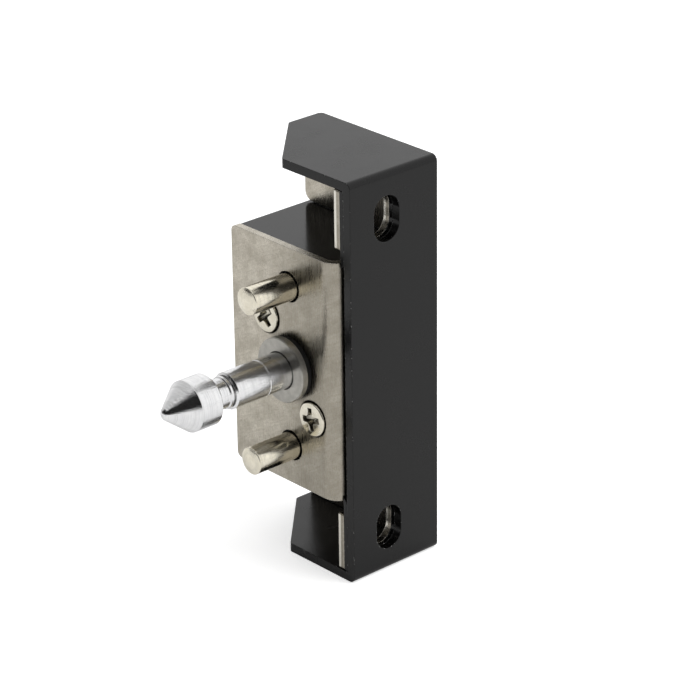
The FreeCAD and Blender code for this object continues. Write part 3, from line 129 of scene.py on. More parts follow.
# %% [markdown]
# Four more helpers say what happens on a surface. The grain function turns noise into a mask from 0 to
# 1, with a grain size in millimetres along X, Y and Z, so a brushed or turned surface is a grain that
# is long one way and short across. Tones are laid over a colour where such masks are. The
# AmbientOcclusion node finds the places that neighbours shut out from the light, and shade is painted
# there. The last helper closes a finish with its shader.
# %% Grain, tone and painted shade
def grain(tree, grid, size, low=0.35, high=0.65, detail=3.0):
    """Mask of grains that measure size mm along X, Y and Z; low and high cut the noise."""
    scaled = add(tree, "VectorMath", {0: grid, 1: tuple(1 / s for s in size)}, operation="MULTIPLY")
    noise = add(tree, "TexNoise", {"Vector": scaled, "Scale": 1.0, "Detail": detail, "Roughness": 0.6})
    return add(tree, "MapRange", {"Value": noise, "From Min": low, "From Max": high})


def lay_tones(tree, colour, layers):
    """Lay tones over a colour, one after another; a layer is a mask, its share at most, and a tone."""
    for mask, share, tone in layers:
        laid = add(tree, "MapRange", {"Value": mask, "To Max": share})
        colour = add(tree, "Mix", {0: laid, 6: colour, 7: tone}, out=2, data_type="RGBA")
    return colour


def painted_shade_mask(tree, reach, starts, full):
    """Mask of the places that neighbours within reach mm hide from the light, for painted shade; starts
    and full are open shares.
    """
    open_share = add(tree, "AmbientOcclusion", {"Distance": reach * MM}, out="AO", samples=8)
    return add(tree, "MapRange", {"Value": open_share, "From Min": starts, "From Max": full})


def finish_surface(tree, **inputs):
    """Close a finish: one Principled shader and the output; two underscores stand for a space."""
    named = {key.replace("__", " "): value for key, value in inputs.items()}
    shader = add(tree, "BsdfPrincipled", named)
    add(tree, "OutputMaterial", {"Surface": shader})


# grime here means painted shade, laid where neighbours hide a surface from the light
print("grain, tone and grime are ready")

# %% [markdown]
# The bracket is 2 mm steel with a black electro-dipped coat that is baked on. It isn't quite smooth:
# the coat flows into a faint orange peel of about a millimetre, a few dust specks sit in it, and on the
# edges it is thin and chipped here and there down to the bright steel. Real dust is finer than the
# 0.35 mm drawn here, which is what it needs to show.
# A dielectric with a nearly black base does this, since the grey that you see is only reflection: more
# of it on top, where we look along the surface, and less on the side. Baked resin has an IOR near 1.5,
# and we take it down to 1.38 to match the depth of this black.
# %% Black coat on the bracket and the cover
SHEET_EDGE = 0.25
COAT_IOR = 1.38
COAT_RELIEF = 0.0035


def black_coat(name, base, edge_tint, smooth, rough):
    """Baked black coat on sheet steel, with its roughness range."""
    material, tree, grid, normal, edge = start_finish(name, SHEET_EDGE)
    flow = grain(tree, grid, (7.0, 7.0, 7.0))
    dust = grain(tree, grid, (0.35, 0.35, 0.35), low=0.74, high=0.8, detail=1.0)
    flaked = grain(tree, grid, (0.6, 0.6, 0.6), low=0.62, high=0.66, detail=2.0)
    peel = grain(tree, grid, (0.9, 0.9, 0.9), low=0.2, high=0.8, detail=2.0)
    chips = add(tree, "Math", {0: flaked, 1: edge}, operation="MULTIPLY")
    layers = ((edge, 0.3, edge_tint), (dust, 0.1, "8c8c8c"), (chips, 1.0, "c4c4c2"))
    colour = lay_tones(tree, base, layers)
    bump = add(tree, "Bump", {"Height": peel, "Distance": COAT_RELIEF * MM, "Normal": normal})
    uneven = add(tree, "MapRange", {"Value": flow, "To Min": smooth, "To Max": rough})
    finish_surface(tree, Base__Color=colour, Normal=bump, IOR=COAT_IOR, Roughness=uneven)
    return material


bracket_coat = black_coat("electro_dipped_black_on_steel", "050505", "121212", smooth=0.22, rough=0.28)
cover_coat = black_coat("baked_black_on_cover_sheet", "050505", "101010", smooth=0.12, rough=0.18)
print("made", bracket_coat.name, "and", cover_coat.name)

# %% [markdown]
# The front plate and its two ears are cut and folded from one 1.6 mm sheet. A highlight is painted
# into the colour of the ears' front edges, as a bright zone along one side. We find that zone by
# three masks, multiplied: far enough up or down to be on an ear, close to the zone's middle, and
# facing the front. The ears begin 27.5 mm above and below the middle, and the zone's middle lies
# 4.5 mm from the bracket's side.
# %% Painted highlight on the ears' cut edges
EARS_FROM = 27.5
EARS_FADE = 0.5
BRIGHT_ZONE = 4.5
ZONE_INNER = 0.4
ZONE_OUTER = 0.5
FACING_SIDE = -0.8
FACING_FRONT = -0.95


def painted_ear_highlight(tree, grid, across):
    """Mask of the painted highlight on the ears' front edges; across is the place along X in mm."""
    height = add(tree, "SeparateXYZ", {0: grid}, out="Z")
    height = add(tree, "Math", {0: height}, operation="ABSOLUTE")
    on_ear = add(tree, "MapRange", {"Value": height, "From Min": EARS_FROM,
                                    "From Max": EARS_FROM + EARS_FADE})
    offset = add(tree, "Math", {0: across, 1: BRIGHT_ZONE}, operation="ADD")
    offset = add(tree, "Math", {0: offset}, operation="ABSOLUTE")
    in_zone = add(tree, "MapRange", {"Value": offset, "From Min": ZONE_OUTER, "From Max": ZONE_INNER})
    true = add(tree, "NewGeometry", out="True Normal")
    facing = add(tree, "SeparateXYZ", {0: true}, out="Y")
    in_front = add(tree, "MapRange", {"Value": facing, "From Min": FACING_SIDE,
                                      "From Max": FACING_FRONT})
    ear_highlight_mask = add(tree, "Math", {0: on_ear, 1: in_front}, operation="MULTIPLY")
    return add(tree, "Math", {0: ear_highlight_mask, 1: in_zone}, operation="MULTIPLY")


print("the bright zone's middle is %.1f mm from the bracket's side" % BRIGHT_ZONE)

# %% [markdown]
# The folded plate is tumbled and nickel plated. Tumbling leaves a satin skin, mottled in clouds of
# about 3 mm and in small flecks, with wisps at a slant and short scratches, and a brush leaves faint
# upright lines. The colour is made darker towards the bend, the plating is rubbed light on the edges,
# and shade is painted dark into the corners that neighbours hide from the light. Real scratches are
# finer than the 0.14 mm drawn here, but wouldn't show.
# It is a full metal, so what you see is its surroundings, tinted warm grey. The brush lines vary how
# blurred that reflection is, the clouds are slight dents, and the scratches are grain that is long one
# way, laid twice at a right angle.
# %% Satin nickel on the front plate
WISP_SLANT = 28
DARKENING_STARTS = -26.0
DARKENING_IS_FULL = -12.0
PLATE_SMOOTH = 0.22
PLATE_ROUGH = 0.34
DENT_DEPTH = 0.02
SCRATCH_DEPTH = 0.005


def satin_nickel(name):
    """Tumbled and nickel-plated sheet steel."""
    material, tree, grid, normal, edge = start_finish(name, SHEET_EDGE)
    cloud = grain(tree, grid, (3.2, 3.2, 3.2), low=0.36, high=0.64, detail=6.0)
    fleck = grain(tree, grid, (0.28, 0.28, 0.28), low=0.4, high=0.72)
    brush = grain(tree, grid, (0.35, 0.35, 9.0), low=0.32, high=0.68, detail=4.0)
    slanted = add(tree, "VectorRotate", {0: grid, "Axis": (0.0, 1.0, 0.0),
                                         "Angle": math.radians(WISP_SLANT)})
    wisp = grain(tree, slanted, (4.0, 4.0, 0.4), low=0.45, high=0.7, detail=4.0)
    across = add(tree, "SeparateXYZ", {0: grid}, out="X")
    # the colour grows darker towards the bend
    toward_bend = add(tree, "MapRange", {"Value": across, "From Min": DARKENING_STARTS, "From Max": DARKENING_IS_FULL})
    # painted highlight on the ears' cut edges
    ear_highlight_mask = painted_ear_highlight(tree, grid, across)
    # painted shade: dark where neighbours hide the plate from the light
    painted_corner_shade = painted_shade_mask(tree, reach=6.0, starts=0.74, full=0.3)
    layers = (
        (cloud, 1.0, "d1cabd"),
        (brush, 0.3, "dcd7c9"),
        (wisp, 0.45, "a69f8f"),
        (fleck, 0.5, "979182"),
        (toward_bend, 0.45, "7d776b"),
        (edge, 0.6, "e6e2d8"),
        (ear_highlight_mask, 1.0, "ece8dd"),
        (painted_corner_shade, 0.92, "24231f"),
    )
    colour = lay_tones(tree, "aea79a", layers)
    upright = grain(tree, grid, (0.14, 0.14, 2.2), detail=2.0)
    level = grain(tree, grid, (1.6, 0.14, 0.14), detail=2.0)
    scratch = add(tree, "Math", {0: upright, 1: level}, operation="ADD")
    dented = add(tree, "Bump", {"Height": cloud, "Distance": DENT_DEPTH * MM, "Normal": normal})
    bump = add(tree, "Bump", {"Height": scratch, "Distance": SCRATCH_DEPTH * MM, "Normal": dented})
    uneven = add(tree, "MapRange", {"Value": brush, "To Min": PLATE_SMOOTH, "To Max": PLATE_ROUGH})
    finish_surface(tree, Base__Color=colour, Normal=bump, Metallic=1.0, Roughness=uneven)
    return material


plate_nickel = satin_nickel("tumbled_nickel_on_steel")
print("made", plate_nickel.name)

# %% [markdown]
# The bolt, the pins, the bush and the screws are turned on a lathe and then plated. Turning leaves
# fine rings round the axis, which runs along Y here, so the grain is short along Y and long across.
# Finer grooves among them hold dirt and show as thin dark lines. Bar is drawn before it is turned, so
# there are also streaks along its length. All are drawn as coarse as they need to show.
# Such rings smear a reflection across them, along the axis. The anisotropic part of the shader does
# that: a radial Tangent runs round the axis, the shader smears along its tangent, and so the smear is
# turned by a quarter.
# %% Turned and plated steel
SMALL_EDGE = 0.1
QUARTER_TURN = 0.25
SHADE_RANGE = 0.4


def turned_metal(name, bright, dull, rough, spread, ring, ring_depth, streak_depth, smear=0.7,
                 lines=0.2, shade_starts=0.5):
    """Plated metal turned round Y; the ring spacing and the depths are in mm."""
    material, tree, grid, normal, edge = start_finish(name, SMALL_EDGE)
    rings = grain(tree, grid, (60.0, ring, 60.0), low=0.3, high=0.7, detail=2.0)
    grooves = grain(tree, grid, (60.0, ring / 2, 60.0), low=0.5, high=0.75, detail=2.0)
    streaks = grain(tree, grid, (0.28, 2.4, 0.28), high=0.7)
    cloud = grain(tree, grid, (1.4, 1.4, 1.4), detail=4.0)
    # painted shade: dark where neighbours hide the surface from the light, as in a screw's recess
    painted_recess_shade = painted_shade_mask(tree, reach=1.5, starts=shade_starts, full=shade_starts - SHADE_RANGE)
    layers = (
        (cloud, 1.0, bright),
        (streaks, 0.3, dull),
        (grooves, lines, "55534f"),
        (edge, 0.5, "f2f0ea"),
        (painted_recess_shade, 0.9, "1d1b16"),
    )
    colour = lay_tones(tree, dull, layers)
    ringed = add(tree, "Bump", {"Height": rings, "Distance": ring_depth * MM, "Normal": normal})
    bump = add(tree, "Bump", {"Height": streaks, "Distance": streak_depth * MM, "Normal": ringed})
    uneven = add(tree, "MapRange", {"Value": streaks, "To Min": rough, "To Max": rough + spread})
    tangent = add(tree, "Tangent", direction_type="RADIAL", axis="Y")
    finish_surface(tree, Base__Color=colour, Normal=bump, Metallic=1.0, Tangent=tangent,
                   Anisotropic=smear, Anisotropic__Rotation=QUARTER_TURN, Roughness=uneven)
    return material


print("turned finish has a softened edge of %.1f mm" % SMALL_EDGE)

# %% [markdown]
# Four kinds of turned piece have four finishes. The bolt is bright zinc, almost a mirror. The bush is
# duller and has plain tool marks. The pins and the screws are nickel, which is a little yellow next to
# zinc, and more shade is painted into the punched recess of a screw than onto a plain shank.
# %% Zinc and nickel on turned pieces
bolt_zinc = turned_metal("bright_zinc_on_turned_steel", "f4f4f4", "ebebec", rough=0.12, spread=0.04,
                         ring=0.3, ring_depth=0.004, streak_depth=0.012, smear=0.93, lines=0.25)
bush_zinc = turned_metal("dull_zinc_on_turned_steel", "c4c1ba", "b0aea7", rough=0.3, spread=0.1,
                         ring=0.35, ring_depth=0.005, streak_depth=0.0005, lines=0.5)
pin_nickel = turned_metal("nickel_on_drawn_bar", "f3eddc", "e4ddca", rough=0.1, spread=0.05,
                          ring=0.45, ring_depth=0.004, streak_depth=0.006, smear=0.88)
screw_nickel = turned_metal("nickel_on_screw_steel", "f0ebdc", "ded8c6", rough=0.16, spread=0.06,
                            ring=0.25, ring_depth=0.001, streak_depth=0.0006, shade_starts=0.85)
print("made", bolt_zinc.name, bush_zinc.name, pin_nickel.name, screw_nickel.name)

# %% [markdown]
# Inside the box are parts that show only through the slots and the rear window, or when someone opens
# the model: a cast block, an iron yoke, a coil, springs and a small circuit board. They get a quieter
# recipe, yet each is a real material with its own grain: cast, turned, moulded, wound or laminated.
# Each row of the table holds two colours, the grain in mm along X, Y and Z, how metallic it is, the
# smoothest and roughest part, and the relief in mm.
# %% Inner metals and plastics
INNER_ROWS = {
    "cast_zinc": ("a3a5a8", "8b8d91", (0.8, 0.8, 0.8), 1.0, 0.45, 0.6, 0.02),
    "zinc_on_iron_strip": ("c9ccd0", "b3b8bf", (0.2, 3.0, 3.0), 1.0, 0.28, 0.4, 0.003),
    "turned_soft_iron": ("b9b9bb", "9fa0a3", (30.0, 0.15, 30.0), 1.0, 0.25, 0.35, 0.003),
    "oiled_spring_steel": ("8d8f94", "74767b", (0.5, 0.5, 0.5), 1.0, 0.2, 0.32, 0.002),
    "tin_on_brass": ("d9d6cc", "c4bfae", (0.4, 0.4, 0.4), 1.0, 0.2, 0.32, 0.002),
    "nickel_on_magnet": ("cfcabf", "bdb7a8", (0.6, 0.6, 0.6), 1.0, 0.18, 0.26, 0.002),
    "enamelled_copper": ("a4512b", "7c3416", (20.0, 0.22, 20.0), 0.6, 0.25, 0.4, 0.05),
    "moulded_black_rubber": ("0c0c0c", "161616", (0.25, 0.25, 0.25), 0.0, 0.6, 0.8, 0.01),
    "moulded_black_nylon": ("141414", "1d1d1d", (0.3, 0.3, 0.3), 0.0, 0.4, 0.55, 0.006),
    "moulded_natural_nylon": ("e4dfd2", "d8d2c2", (0.5, 0.5, 0.5), 0.0, 0.38, 0.5, 0.006),
    "solder_mask_on_laminate": ("0f5a31", "0b4526", (0.35, 0.35, 0.35), 0.0, 0.25, 0.35, 0.01),
    "moulded_black_epoxy": ("1b1b1d", "242427", (0.15, 0.15, 0.15), 0.0, 0.45, 0.6, 0.006),
    "black_shrink_sleeve": ("15161c", "1d1e26", (1.5, 1.5, 1.5), 0.0, 0.16, 0.24, 0.004),
}


def inner_finish(name, first, second, size, metal, low, high, depth):
    """Finish with one grain, which drives its colour, its roughness and its relief."""
    material, tree, grid, normal, _ = start_finish(name, SMALL_EDGE)
    mask = grain(tree, grid, size)
    colour = lay_tones(tree, first, ((mask, 1.0, second),))
    bump = add(tree, "Bump", {"Height": mask, "Distance": depth * MM, "Normal": normal})
    uneven = add(tree, "MapRange", {"Value": mask, "To Min": low, "To Max": high})
    finish_surface(tree, Base__Color=colour, Normal=bump, Metallic=metal, Roughness=uneven)
    return material


inner = {name: inner_finish(name, *row) for name, row in INNER_ROWS.items()}
print("made", len(inner), "inner finishes")

# %% [markdown]
# Each piece of the model now gets its finish through its own material slot. The table reads like a
# parts list: what the piece is on the left, and what it is made of on the right.
# %% Give each piece its finish
PARTS_LIST = {
    "mounting_bracket": bracket_coat,
    "housing_cover": cover_coat,
    "chassis_plate": plate_nickel,
    "carrier_block": inner["cast_zinc"],
    "guide_bush": bush_zinc,
    "buffer_ring": inner["moulded_black_rubber"],
    "stop_washer": inner["moulded_natural_nylon"],
    "bolt": bolt_zinc,
    "plunger": inner["turned_soft_iron"],
    "solenoid_yoke": inner["zinc_on_iron_strip"],
    "coil_bobbin": inner["moulded_black_nylon"],
    "fixed_core": inner["turned_soft_iron"],
    "coil_winding": inner["enamelled_copper"],
    "upper_ejector_pin": pin_nickel,
    "lower_ejector_pin": pin_nickel,
    "upper_ejector_clip": inner["oiled_spring_steel"],
    "lower_ejector_clip": inner["oiled_spring_steel"],
    "upper_spring_cup": inner["moulded_black_nylon"],
    "lower_spring_cup": inner["moulded_black_nylon"],
    "upper_plate_screw": screw_nickel,
    "lower_plate_screw": screw_nickel,
    "upper_board_spacer": inner["moulded_natural_nylon"],
    "lower_board_spacer": inner["moulded_natural_nylon"],
    "upper_board_screw": screw_nickel,
    "lower_board_screw": screw_nickel,
    "sensor_magnet": inner["nickel_on_magnet"],
    "circuit_board": inner["solder_mask_on_laminate"],
    "connector_shell": inner["moulded_natural_nylon"],
    "connector_pins": inner["tin_on_brass"],
    "smoothing_capacitor": inner["black_shrink_sleeve"],
    "controller_chip": inner["moulded_black_epoxy"],
    "driver_transistor": inner["moulded_black_epoxy"],
    "door_sensor": inner["moulded_black_epoxy"],
}
for name, material in PARTS_LIST.items():
    for material_slot in nodes[name].material_slots:
        material_slot.material = material
print("finished", len(PARTS_LIST), "pieces")

# %% [markdown]
# Springs, screws and pins are all round things, so one helper can skin any of them. We give it rings
# of points, it lays a band of faces from each ring to the next, and it closes the two ends.
# Faces are shaded smooth, apart from the edges that are meant to be sharp.
# %% Skin a row of rings
def skin_rings(name, rings, material, crease):
    """Closed tube through rings of points; edges sharper than crease degrees stay sharp."""
    mesh = bmesh.new()
    loops = [[mesh.verts.new(point) for point in ring] for ring in rings]
    for first, second in zip(loops, loops[1:]):
        for side in range(len(first)):
            after = (side + 1) % len(first)
            mesh.faces.new((first[side], first[after], second[after], second[side]))
    mesh.faces.new(loops[0])
    mesh.faces.new(list(reversed(loops[-1])))
    bmesh.ops.recalc_face_normals(mesh, faces=mesh.faces)
    data = bpy.data.meshes.new(name)
    mesh.to_mesh(data)
    mesh.free()
    data.shade_smooth()
    data.set_sharp_from_angle(angle=math.radians(crease))
    data.materials.append(material)
    piece = bpy.data.objects.new(name, data)
    bpy.context.scene.collection.objects.link(piece)
    print("skinned", name, "with", len(data.polygons), "faces")
    return piece


print("rings can be skinned")

# %% [markdown]
# Springs change length when the lock works. Each one is wound again here: a circle is carried along
# a helix whose two end turns are closed, as on a real compression spring. Each of these two rises by
# one wire only, and the turns between them share the rest. The wound spring rides on the lock body at
# one length and takes the imported one's place. The wire of all three is oiled steel.
# %% Wind the springs
SPRING_TURNS = 8
TURN_STEPS = 28
WIRE_SIDES = 10
SPRING_CREASE = 60.0


def wind_spring(name, node, wire):
    """Compression spring in the space of its CAD node, riding on the lock body."""
    low, high = (Vector(corner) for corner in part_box(node))
    middle = (low + high) / 2
    radius = (high.x - low.x) / 2 - wire / 2
    spins = [2 * math.pi * side / WIRE_SIDES for side in range(WIRE_SIDES)]
    rings = []
    for step in range(SPRING_TURNS * TURN_STEPS + 1):
        turn = step / TURN_STEPS
        closed = wire * (min(turn, 1.0) + max(turn - SPRING_TURNS + 1.0, 0.0))
        open_share = min(max((turn - 1.0) / (SPRING_TURNS - 2.0), 0.0), 1.0)
        along = low.y + wire / 2 + closed + open_share * (high.y - low.y - 3 * wire)
        angle = 2 * math.pi * turn
        outward = Vector((math.cos(angle), 0.0, math.sin(angle)))
        centre = Vector((middle.x, along, middle.z)) + outward * radius
        rings.append([centre + (outward * math.cos(spin) + Vector((0.0, math.sin(spin), 0.0))) * wire / 2
                      for spin in spins])
    spring = skin_rings(name, rings, inner["oiled_spring_steel"], SPRING_CREASE)
    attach(spring, "lock_body")
    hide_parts(node)
    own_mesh(spring)


wind_spring("return_spring_wound", "return_spring", 0.5 * MM)
wind_spring("upper_spring_wound", "upper_ejector_spring", 0.7 * MM)
wind_spring("lower_spring_wound", "lower_ejector_spring", 0.7 * MM)

# %% [markdown]
# Two M4 screws hold the front plate. Their cross recess is punched: four tapered arms round a cone,
# deepest in the middle, with soft lips. We describe it by its depth at each place of the head, so the
# head's own points can be sunk by that much. All of its sizes are in millimetres.
# %% Shape of a cross recess
RECESS_REACH = 2.45
RECESS_ARM = 1.1
RECESS_TAPER = 0.3
RECESS_CONE = 1.15
RECESS_LIP = 0.1
RECESS_END = 0.9
RECESS_DEPTH = 2.2


def recess_depth(across, along):
    """Depth of the cross recess, at a place given from the middle of the head."""
    u = abs(across)
    v = abs(along)
    reach = math.hypot(across, along)
    half = RECESS_ARM / 2 * (1.0 + RECESS_TAPER - RECESS_TAPER * reach / RECESS_REACH)
    arms = min(max(u - RECESS_REACH, v - half), max(v - RECESS_REACH, u - half))
    outside = min(arms, reach - RECESS_CONE)
    share = min(max((RECESS_LIP - outside) / (2 * RECESS_LIP), 0.0), 1.0)
    fall = 1.0 - min(reach / RECESS_REACH, 1.0)
    soft_share = share * share * (3 - 2 * share)
    return soft_share * (RECESS_END + fall * (RECESS_DEPTH - RECESS_END))


print("recess is %.2f mm deep in the middle" % recess_depth(0.0, 0.0))

# %% [markdown]
# The heads are countersunk but raised: the rim stands a little proud of the plate and the top is
# slightly domed, so that it mirrors a wide part of the room. A screw is a turned thing, so we first
# write its outline, as pairs of a radius and a place along the axis, from the middle of the head over
# its rounded rim and down the cone to the tip. The first pair lies a little off the middle, since a
# ring needs some size, and the thread stops just before the tip.
# %% Outline of a plate screw
HEAD_PROUD = 0.8
HEAD_DOME = 0.35
HEAD_LIP = 0.3
HEAD_RINGS = 56
FIRST_RING = 0.3
LIP_RINGS = 6
LIP_STEP = 18
SHANK_RADIUS = 2.0
THREAD_DEPTH = 0.3
PITCH = 0.7
PITCH_RINGS = 8
BARE_TIP = 0.3


def screw_outline(head, front, rear):
    """Outline in mm of a screw with a head of that radius, between two places along its axis."""
    top = head - HEAD_LIP
    rim = front - HEAD_PROUD
    outline = []
    for ring in range(HEAD_RINGS):
        radius = top * (ring + FIRST_RING) / HEAD_RINGS
        outline.append((radius, rim - HEAD_DOME * (1 - (radius / top) ** 2)))
    for ring in range(LIP_RINGS):
        bend = math.radians(LIP_STEP * ring)
        outline.append((top + HEAD_LIP * math.sin(bend), rim + HEAD_LIP * (1 - math.cos(bend))))
    neck = front + head - SHANK_RADIUS
    outline += [(head, front), (SHANK_RADIUS, neck)]
    thread_rings = int((rear - neck - BARE_TIP) / (PITCH / PITCH_RINGS))
    outline += [(SHANK_RADIUS, neck + PITCH / PITCH_RINGS * (ring + 1)) for ring in range(thread_rings)]
    outline.append((SHANK_RADIUS - THREAD_DEPTH, rear))
    return outline


print("the middle of a head stands %.2f mm in front of the packed one" % (HEAD_PROUD + HEAD_DOME))

# %% [markdown]
# Each pair of the outline becomes a ring of points. On the top of the head a point is sunk by the
# recess, and on the shank the radius falls and rises once a pitch, and once round the shank, which is
# all that a thread is. The spin turns the recess, since no two screws stop at the same angle.
# %% Turn the plate screws
SCREW_SIDES = 192
SCREW_CREASE = 50.0


def turn_screw(name, node, spin):
    """Raised countersunk M4 screw in the place of its CAD node, its recess turned by spin degrees."""
    low, high = (Vector(corner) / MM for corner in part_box(node))
    middle = (low + high) / 2
    head = (high.x - low.x) / 2
    top = head - HEAD_LIP
    lip_end = low.y - HEAD_PROUD + HEAD_LIP
    neck = low.y + head - SHANK_RADIUS
    rings = []
    for radius, depth in screw_outline(head, low.y, high.y):
        ring = []
        for side in range(SCREW_SIDES):
            turn = side / SCREW_SIDES
            recess_angle = 2 * math.pi * turn
            angle = recess_angle + math.radians(spin)
            place = radius
            sunk = depth
            if radius == SHANK_RADIUS and depth > neck:
                place -= THREAD_DEPTH * abs(2 * ((depth / PITCH - turn) % 1.0) - 1)
            if radius <= top and depth < lip_end:
                sunk += recess_depth(radius * math.cos(recess_angle), radius * math.sin(recess_angle))
            ring.append(Vector((middle.x + place * math.cos(angle), sunk,
                                middle.z + place * math.sin(angle))) * MM)
        rings.append(ring)
    screw = skin_rings(name, rings, screw_nickel, SCREW_CREASE)
    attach(screw, "lock_body")
    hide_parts(node)


turn_screw("upper_plate_screw_turned", "upper_plate_screw", spin=40.0)
turn_screw("lower_plate_screw_turned", "lower_plate_screw", spin=8.0)

# %% [markdown]
# The ejector pins are turned from drawn bar. Their ends are faced slightly domed, so the door's plate
# touches only the middle, and that dome mirrors the dark front of the room in one small patch.
# Behind the front plate each pin has a groove for its clip, and the upper one a bore for the magnet.
# We take all lengths from the pieces that sit on the pin, so the turned pin fits them exactly.
# %% Outline of an ejector pin
PIN_DOME = 0.5
PIN_ROUND = 0.2
PIN_RINGS = 24
FIRST_PIN_RING = 0.2
ROUND_RINGS = 5
ROUND_STEP = 22.5
GROOVE_RADIUS = 2.3
GROOVE_PLAY = 0.02
TAIL_CHAMFER = 0.3
MAGNET_BORE = 1.55


def pin_outline(full, front, rear, clip_front, clip_rear, bored):
    """Outline in mm of a pin of radius full, from its domed end over the clip's groove to its tail."""
    flat = full - PIN_ROUND
    outline = []
    for ring in range(PIN_RINGS):
        share = (ring + FIRST_PIN_RING) / PIN_RINGS
        outline.append((flat * share, front + PIN_DOME * share ** 2))
    for ring in range(ROUND_RINGS):
        bend = math.radians(ROUND_STEP * ring)
        outline.append((flat + PIN_ROUND * math.sin(bend),
                        front + PIN_DOME + PIN_ROUND * (1 - math.cos(bend))))
    outline += [(full, clip_front - GROOVE_PLAY), (GROOVE_RADIUS, clip_front - GROOVE_PLAY)]
    outline += [(GROOVE_RADIUS, clip_rear + GROOVE_PLAY), (full, clip_rear + GROOVE_PLAY)]
    outline += [(full, rear - TAIL_CHAMFER), (full - TAIL_CHAMFER, rear)]
    if bored:
        magnet_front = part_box("sensor_magnet")[0][1] / MM
        outline += [(MAGNET_BORE, rear), (MAGNET_BORE, magnet_front)]
    return outline


print("a pin's end is domed by %.1f mm" % PIN_DOME)

# %% [markdown]
# A pin is plainly round, so each pair of its outline becomes a true circle of points. The new pin
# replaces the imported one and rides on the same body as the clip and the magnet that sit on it.
# %% Turn the ejector pins
PIN_SIDES = 96
PIN_CREASE = 30.0


def turn_pin(name, node, clip, body, bored):
    """Ejector pin in the place of its CAD node, with a groove for its clip."""
    low, high = (Vector(corner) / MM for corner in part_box(node))
    clip_front, clip_rear = (corner[1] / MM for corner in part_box(clip))
    middle = (low + high) / 2
    full = (high.x - low.x) / 2
    turns = [2 * math.pi * side / PIN_SIDES for side in range(PIN_SIDES)]
    rings = [[Vector((middle.x + radius * math.cos(turn), depth, middle.z + radius * math.sin(turn))) * MM
              for turn in turns]
             for radius, depth in pin_outline(full, low.y, high.y, clip_front, clip_rear, bored)]
    pin = skin_rings(name, rings, pin_nickel, PIN_CREASE)
    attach(pin, body)
    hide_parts(node)


turn_pin("upper_ejector_pin_turned", "upper_ejector_pin", "upper_ejector_clip", "upper_ejector", True)
turn_pin("lower_ejector_pin_turned", "lower_ejector_pin", "lower_ejector_clip", "lower_ejector", False)

# %% [markdown]
# The lock stands on a white sweep. A plain diffuse floor shows the soft shadow, but comes out light
# grey, and more light on it would burn out the metal as well. Instead the floor gets a little glow
# that only the camera sees, and a weaker one for mirror rays, so it reaches white and still keeps the
# shadow.
# %% Floor
FLOOR_HALF = 4.0
PAPER = "f2f2f2"


def make_floor(level, glow, mirror_glow):
    """White floor with one glow for the camera and one for mirror rays, neither of which lights it."""
    material = bpy.data.materials.new("white_sweep")
    material.use_nodes = True
    tree = material.node_tree
    tree.nodes.clear()
    seen = add(tree, "LightPath", out="Is Camera Ray")
    mirrored = add(tree, "LightPath", out="Is Glossy Ray")
    straight = add(tree, "Math", {0: seen, 1: glow}, operation="MULTIPLY")
    strength = add(tree, "Math", {0: mirrored, 1: mirror_glow, 2: straight}, operation="MULTIPLY_ADD")
    paper = add(tree, "BsdfDiffuse", {"Color": PAPER})
    light = add(tree, "Emission", {"Strength": strength})
    both = add(tree, "AddShader", {0: paper, 1: light})
    add(tree, "OutputMaterial", {"Surface": both})
    data = bpy.data.meshes.new("floor")
    corners = [(x * FLOOR_HALF, y * FLOOR_HALF, level) for x, y in ((-1, -1), (1, -1), (1, 1), (-1, 1))]
    data.from_pydata(corners, [], [(0, 1, 2, 3)])
    data.materials.append(material)
    floor = bpy.data.objects.new("floor", data)
    bpy.context.scene.collection.objects.link(floor)


make_floor(cad_low[2], glow=0.6, mirror_glow=0.15)
print("floor at %.1f mm" % (cad_low[2] / MM))

# %% [markdown]
# Metal shows its surroundings, so the studio matters more than the lamps. Behind the lock is a bright
# backdrop, the sides are a little duller, and a softbox hangs above. On the camera's side the room is
# dark up to that softbox, and the bolt's cone mirrors exactly that as a hard dark wedge. The camera
# itself sees plain white.
# The room is drawn from the direction alone, so it stays put when the camera moves. A direction has
# length 1, and each border is a pair of numbers: how much of it points back, to the dark side or up
# where a change of level starts, and where that change is complete.
# %% Studio room
BACKDROP_BORDER = (-0.2, 0.4)
DARK_SIDE = (0.2, -0.98, 0.0)
DARK_BORDER = (0.3, 0.42)
SOFTBOX_BORDER = (0.79, 0.86)


def make_room(backdrop, sides, softbox, dark):
    """World light from four levels: backdrop, sides, softbox above and the dark front."""
    world = bpy.data.worlds.new("studio")
    bpy.context.scene.world = world
    world.use_nodes = True
    tree = world.node_tree
    tree.nodes.clear()
    direction = add(tree, "TexCoord", out="Generated")
    depth = add(tree, "SeparateXYZ", {0: direction}, out="Y")
    height = add(tree, "SeparateXYZ", {0: direction}, out="Z")
    level = add(tree, "MapRange", {"Value": depth, "From Min": BACKDROP_BORDER[0],
                                   "From Max": BACKDROP_BORDER[1], "To Min": sides,
                                   "To Max": backdrop}, interpolation_type="SMOOTHSTEP")
    toward = add(tree, "VectorMath", {0: direction, 1: DARK_SIDE}, out="Value",
                 operation="DOT_PRODUCT")
    front = add(tree, "MapRange", {"Value": toward, "From Min": DARK_BORDER[0],
                                   "From Max": DARK_BORDER[1]}, interpolation_type="SMOOTHSTEP")
    level = add(tree, "Mix", {0: front, 2: level, 3: dark}, data_type="FLOAT")
    above = add(tree, "MapRange", {"Value": height, "From Min": SOFTBOX_BORDER[0],
                                   "From Max": SOFTBOX_BORDER[1]}, interpolation_type="SMOOTHSTEP")
    level = add(tree, "Mix", {0: above, 2: level, 3: softbox}, data_type="FLOAT")
    path = add(tree, "LightPath", out="Is Camera Ray")
    seen = add(tree, "Mix", {0: path, 2: level, 3: 1.0}, data_type="FLOAT")
    background = add(tree, "Background", {"Color": "ffffff", "Strength": seen})
    add(tree, "OutputWorld", {"Surface": background})


make_room(backdrop=1.016, sides=0.624, softbox=0.88, dark=0.012)
print("room: bright backdrop, softbox above, dark front")

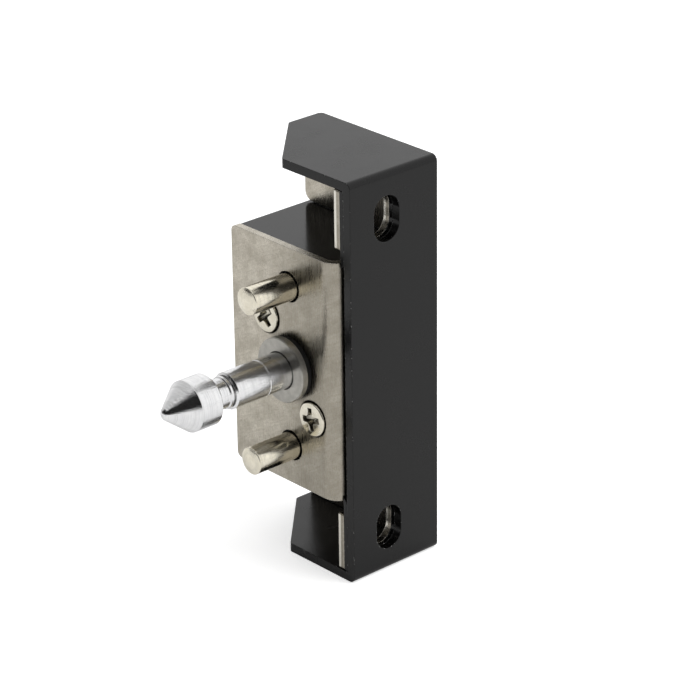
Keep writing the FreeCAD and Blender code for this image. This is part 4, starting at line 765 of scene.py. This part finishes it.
# %% [markdown]
# One large soft lamp hangs high up, behind the lock and to its right, and throws a soft shadow towards
# us and to the left. It is weak, because the room already does most of the work. Mirror rays don't see
# it, since in the metal it would be a second window that the real room doesn't have.
# %% Lamp
LAMP_PLACE = (0.5, 0.3, 0.8)
LAMP_SIDE = 0.4
LAMP_POWER = 2.5


def soft_lamp(name):
    """Square area lamp, in metres and watts, pointed at the middle of the lock."""
    data = bpy.data.lights.new(name, "AREA")
    data.shape = "SQUARE"
    data.size = LAMP_SIDE
    data.energy = LAMP_POWER
    lamp = bpy.data.objects.new(name, data)
    lamp.location = LAMP_PLACE
    lamp.rotation_euler = (-Vector(LAMP_PLACE)).to_track_quat("-Z", "Y").to_euler()
    lamp.visible_glossy = False
    bpy.context.scene.collection.objects.link(lamp)


soft_lamp("key_lamp")
print("one soft lamp of %.1f m" % LAMP_SIDE)

# %% [markdown]
# The camera was worked out from the straight edges in the photograph: a long lens, 48 degrees round to
# the right and 24 degrees up, with a roll of less than one degree. We build its axes by hand and give
# them to the camera as a matrix.
# %% Camera
AZIMUTH = math.radians(47.980)
ELEVATION = math.radians(24.323)
ROLL = math.radians(-0.7317)
TARGET = Vector((-13.775, 2.0, 0.760)) * MM
CAMERA_DISTANCE = 655.803 * MM
SENSOR_WIDTH = 36.0
FOCAL_LENGTH = 160.92
NEAREST_SEEN = 0.01


def make_camera():
    """Long-lens camera at the photograph's viewing angle."""
    away = Vector((math.sin(AZIMUTH) * math.cos(ELEVATION), -math.cos(AZIMUTH) * math.cos(ELEVATION),
                   math.sin(ELEVATION)))
    right = Vector((math.cos(AZIMUTH), math.sin(AZIMUTH), 0.0))
    up = away.cross(right)
    across = right * math.cos(ROLL) + up * math.sin(ROLL)
    upward = up * math.cos(ROLL) - right * math.sin(ROLL)
    data = bpy.data.cameras.new("camera")
    data.sensor_width = SENSOR_WIDTH
    data.lens = FOCAL_LENGTH
    data.clip_start = NEAREST_SEEN
    camera = bpy.data.objects.new("camera", data)
    axes = Matrix((across, upward, away)).transposed().to_4x4()
    camera.matrix_world = Matrix.Translation(TARGET + away * CAMERA_DISTANCE) @ axes
    bpy.context.scene.collection.objects.link(camera)
    bpy.context.scene.camera = camera
    bpy.context.scene.view_settings.view_transform = "Standard"


make_camera()
print("camera is %.0f mm from the lock" % (CAMERA_DISTANCE / MM))
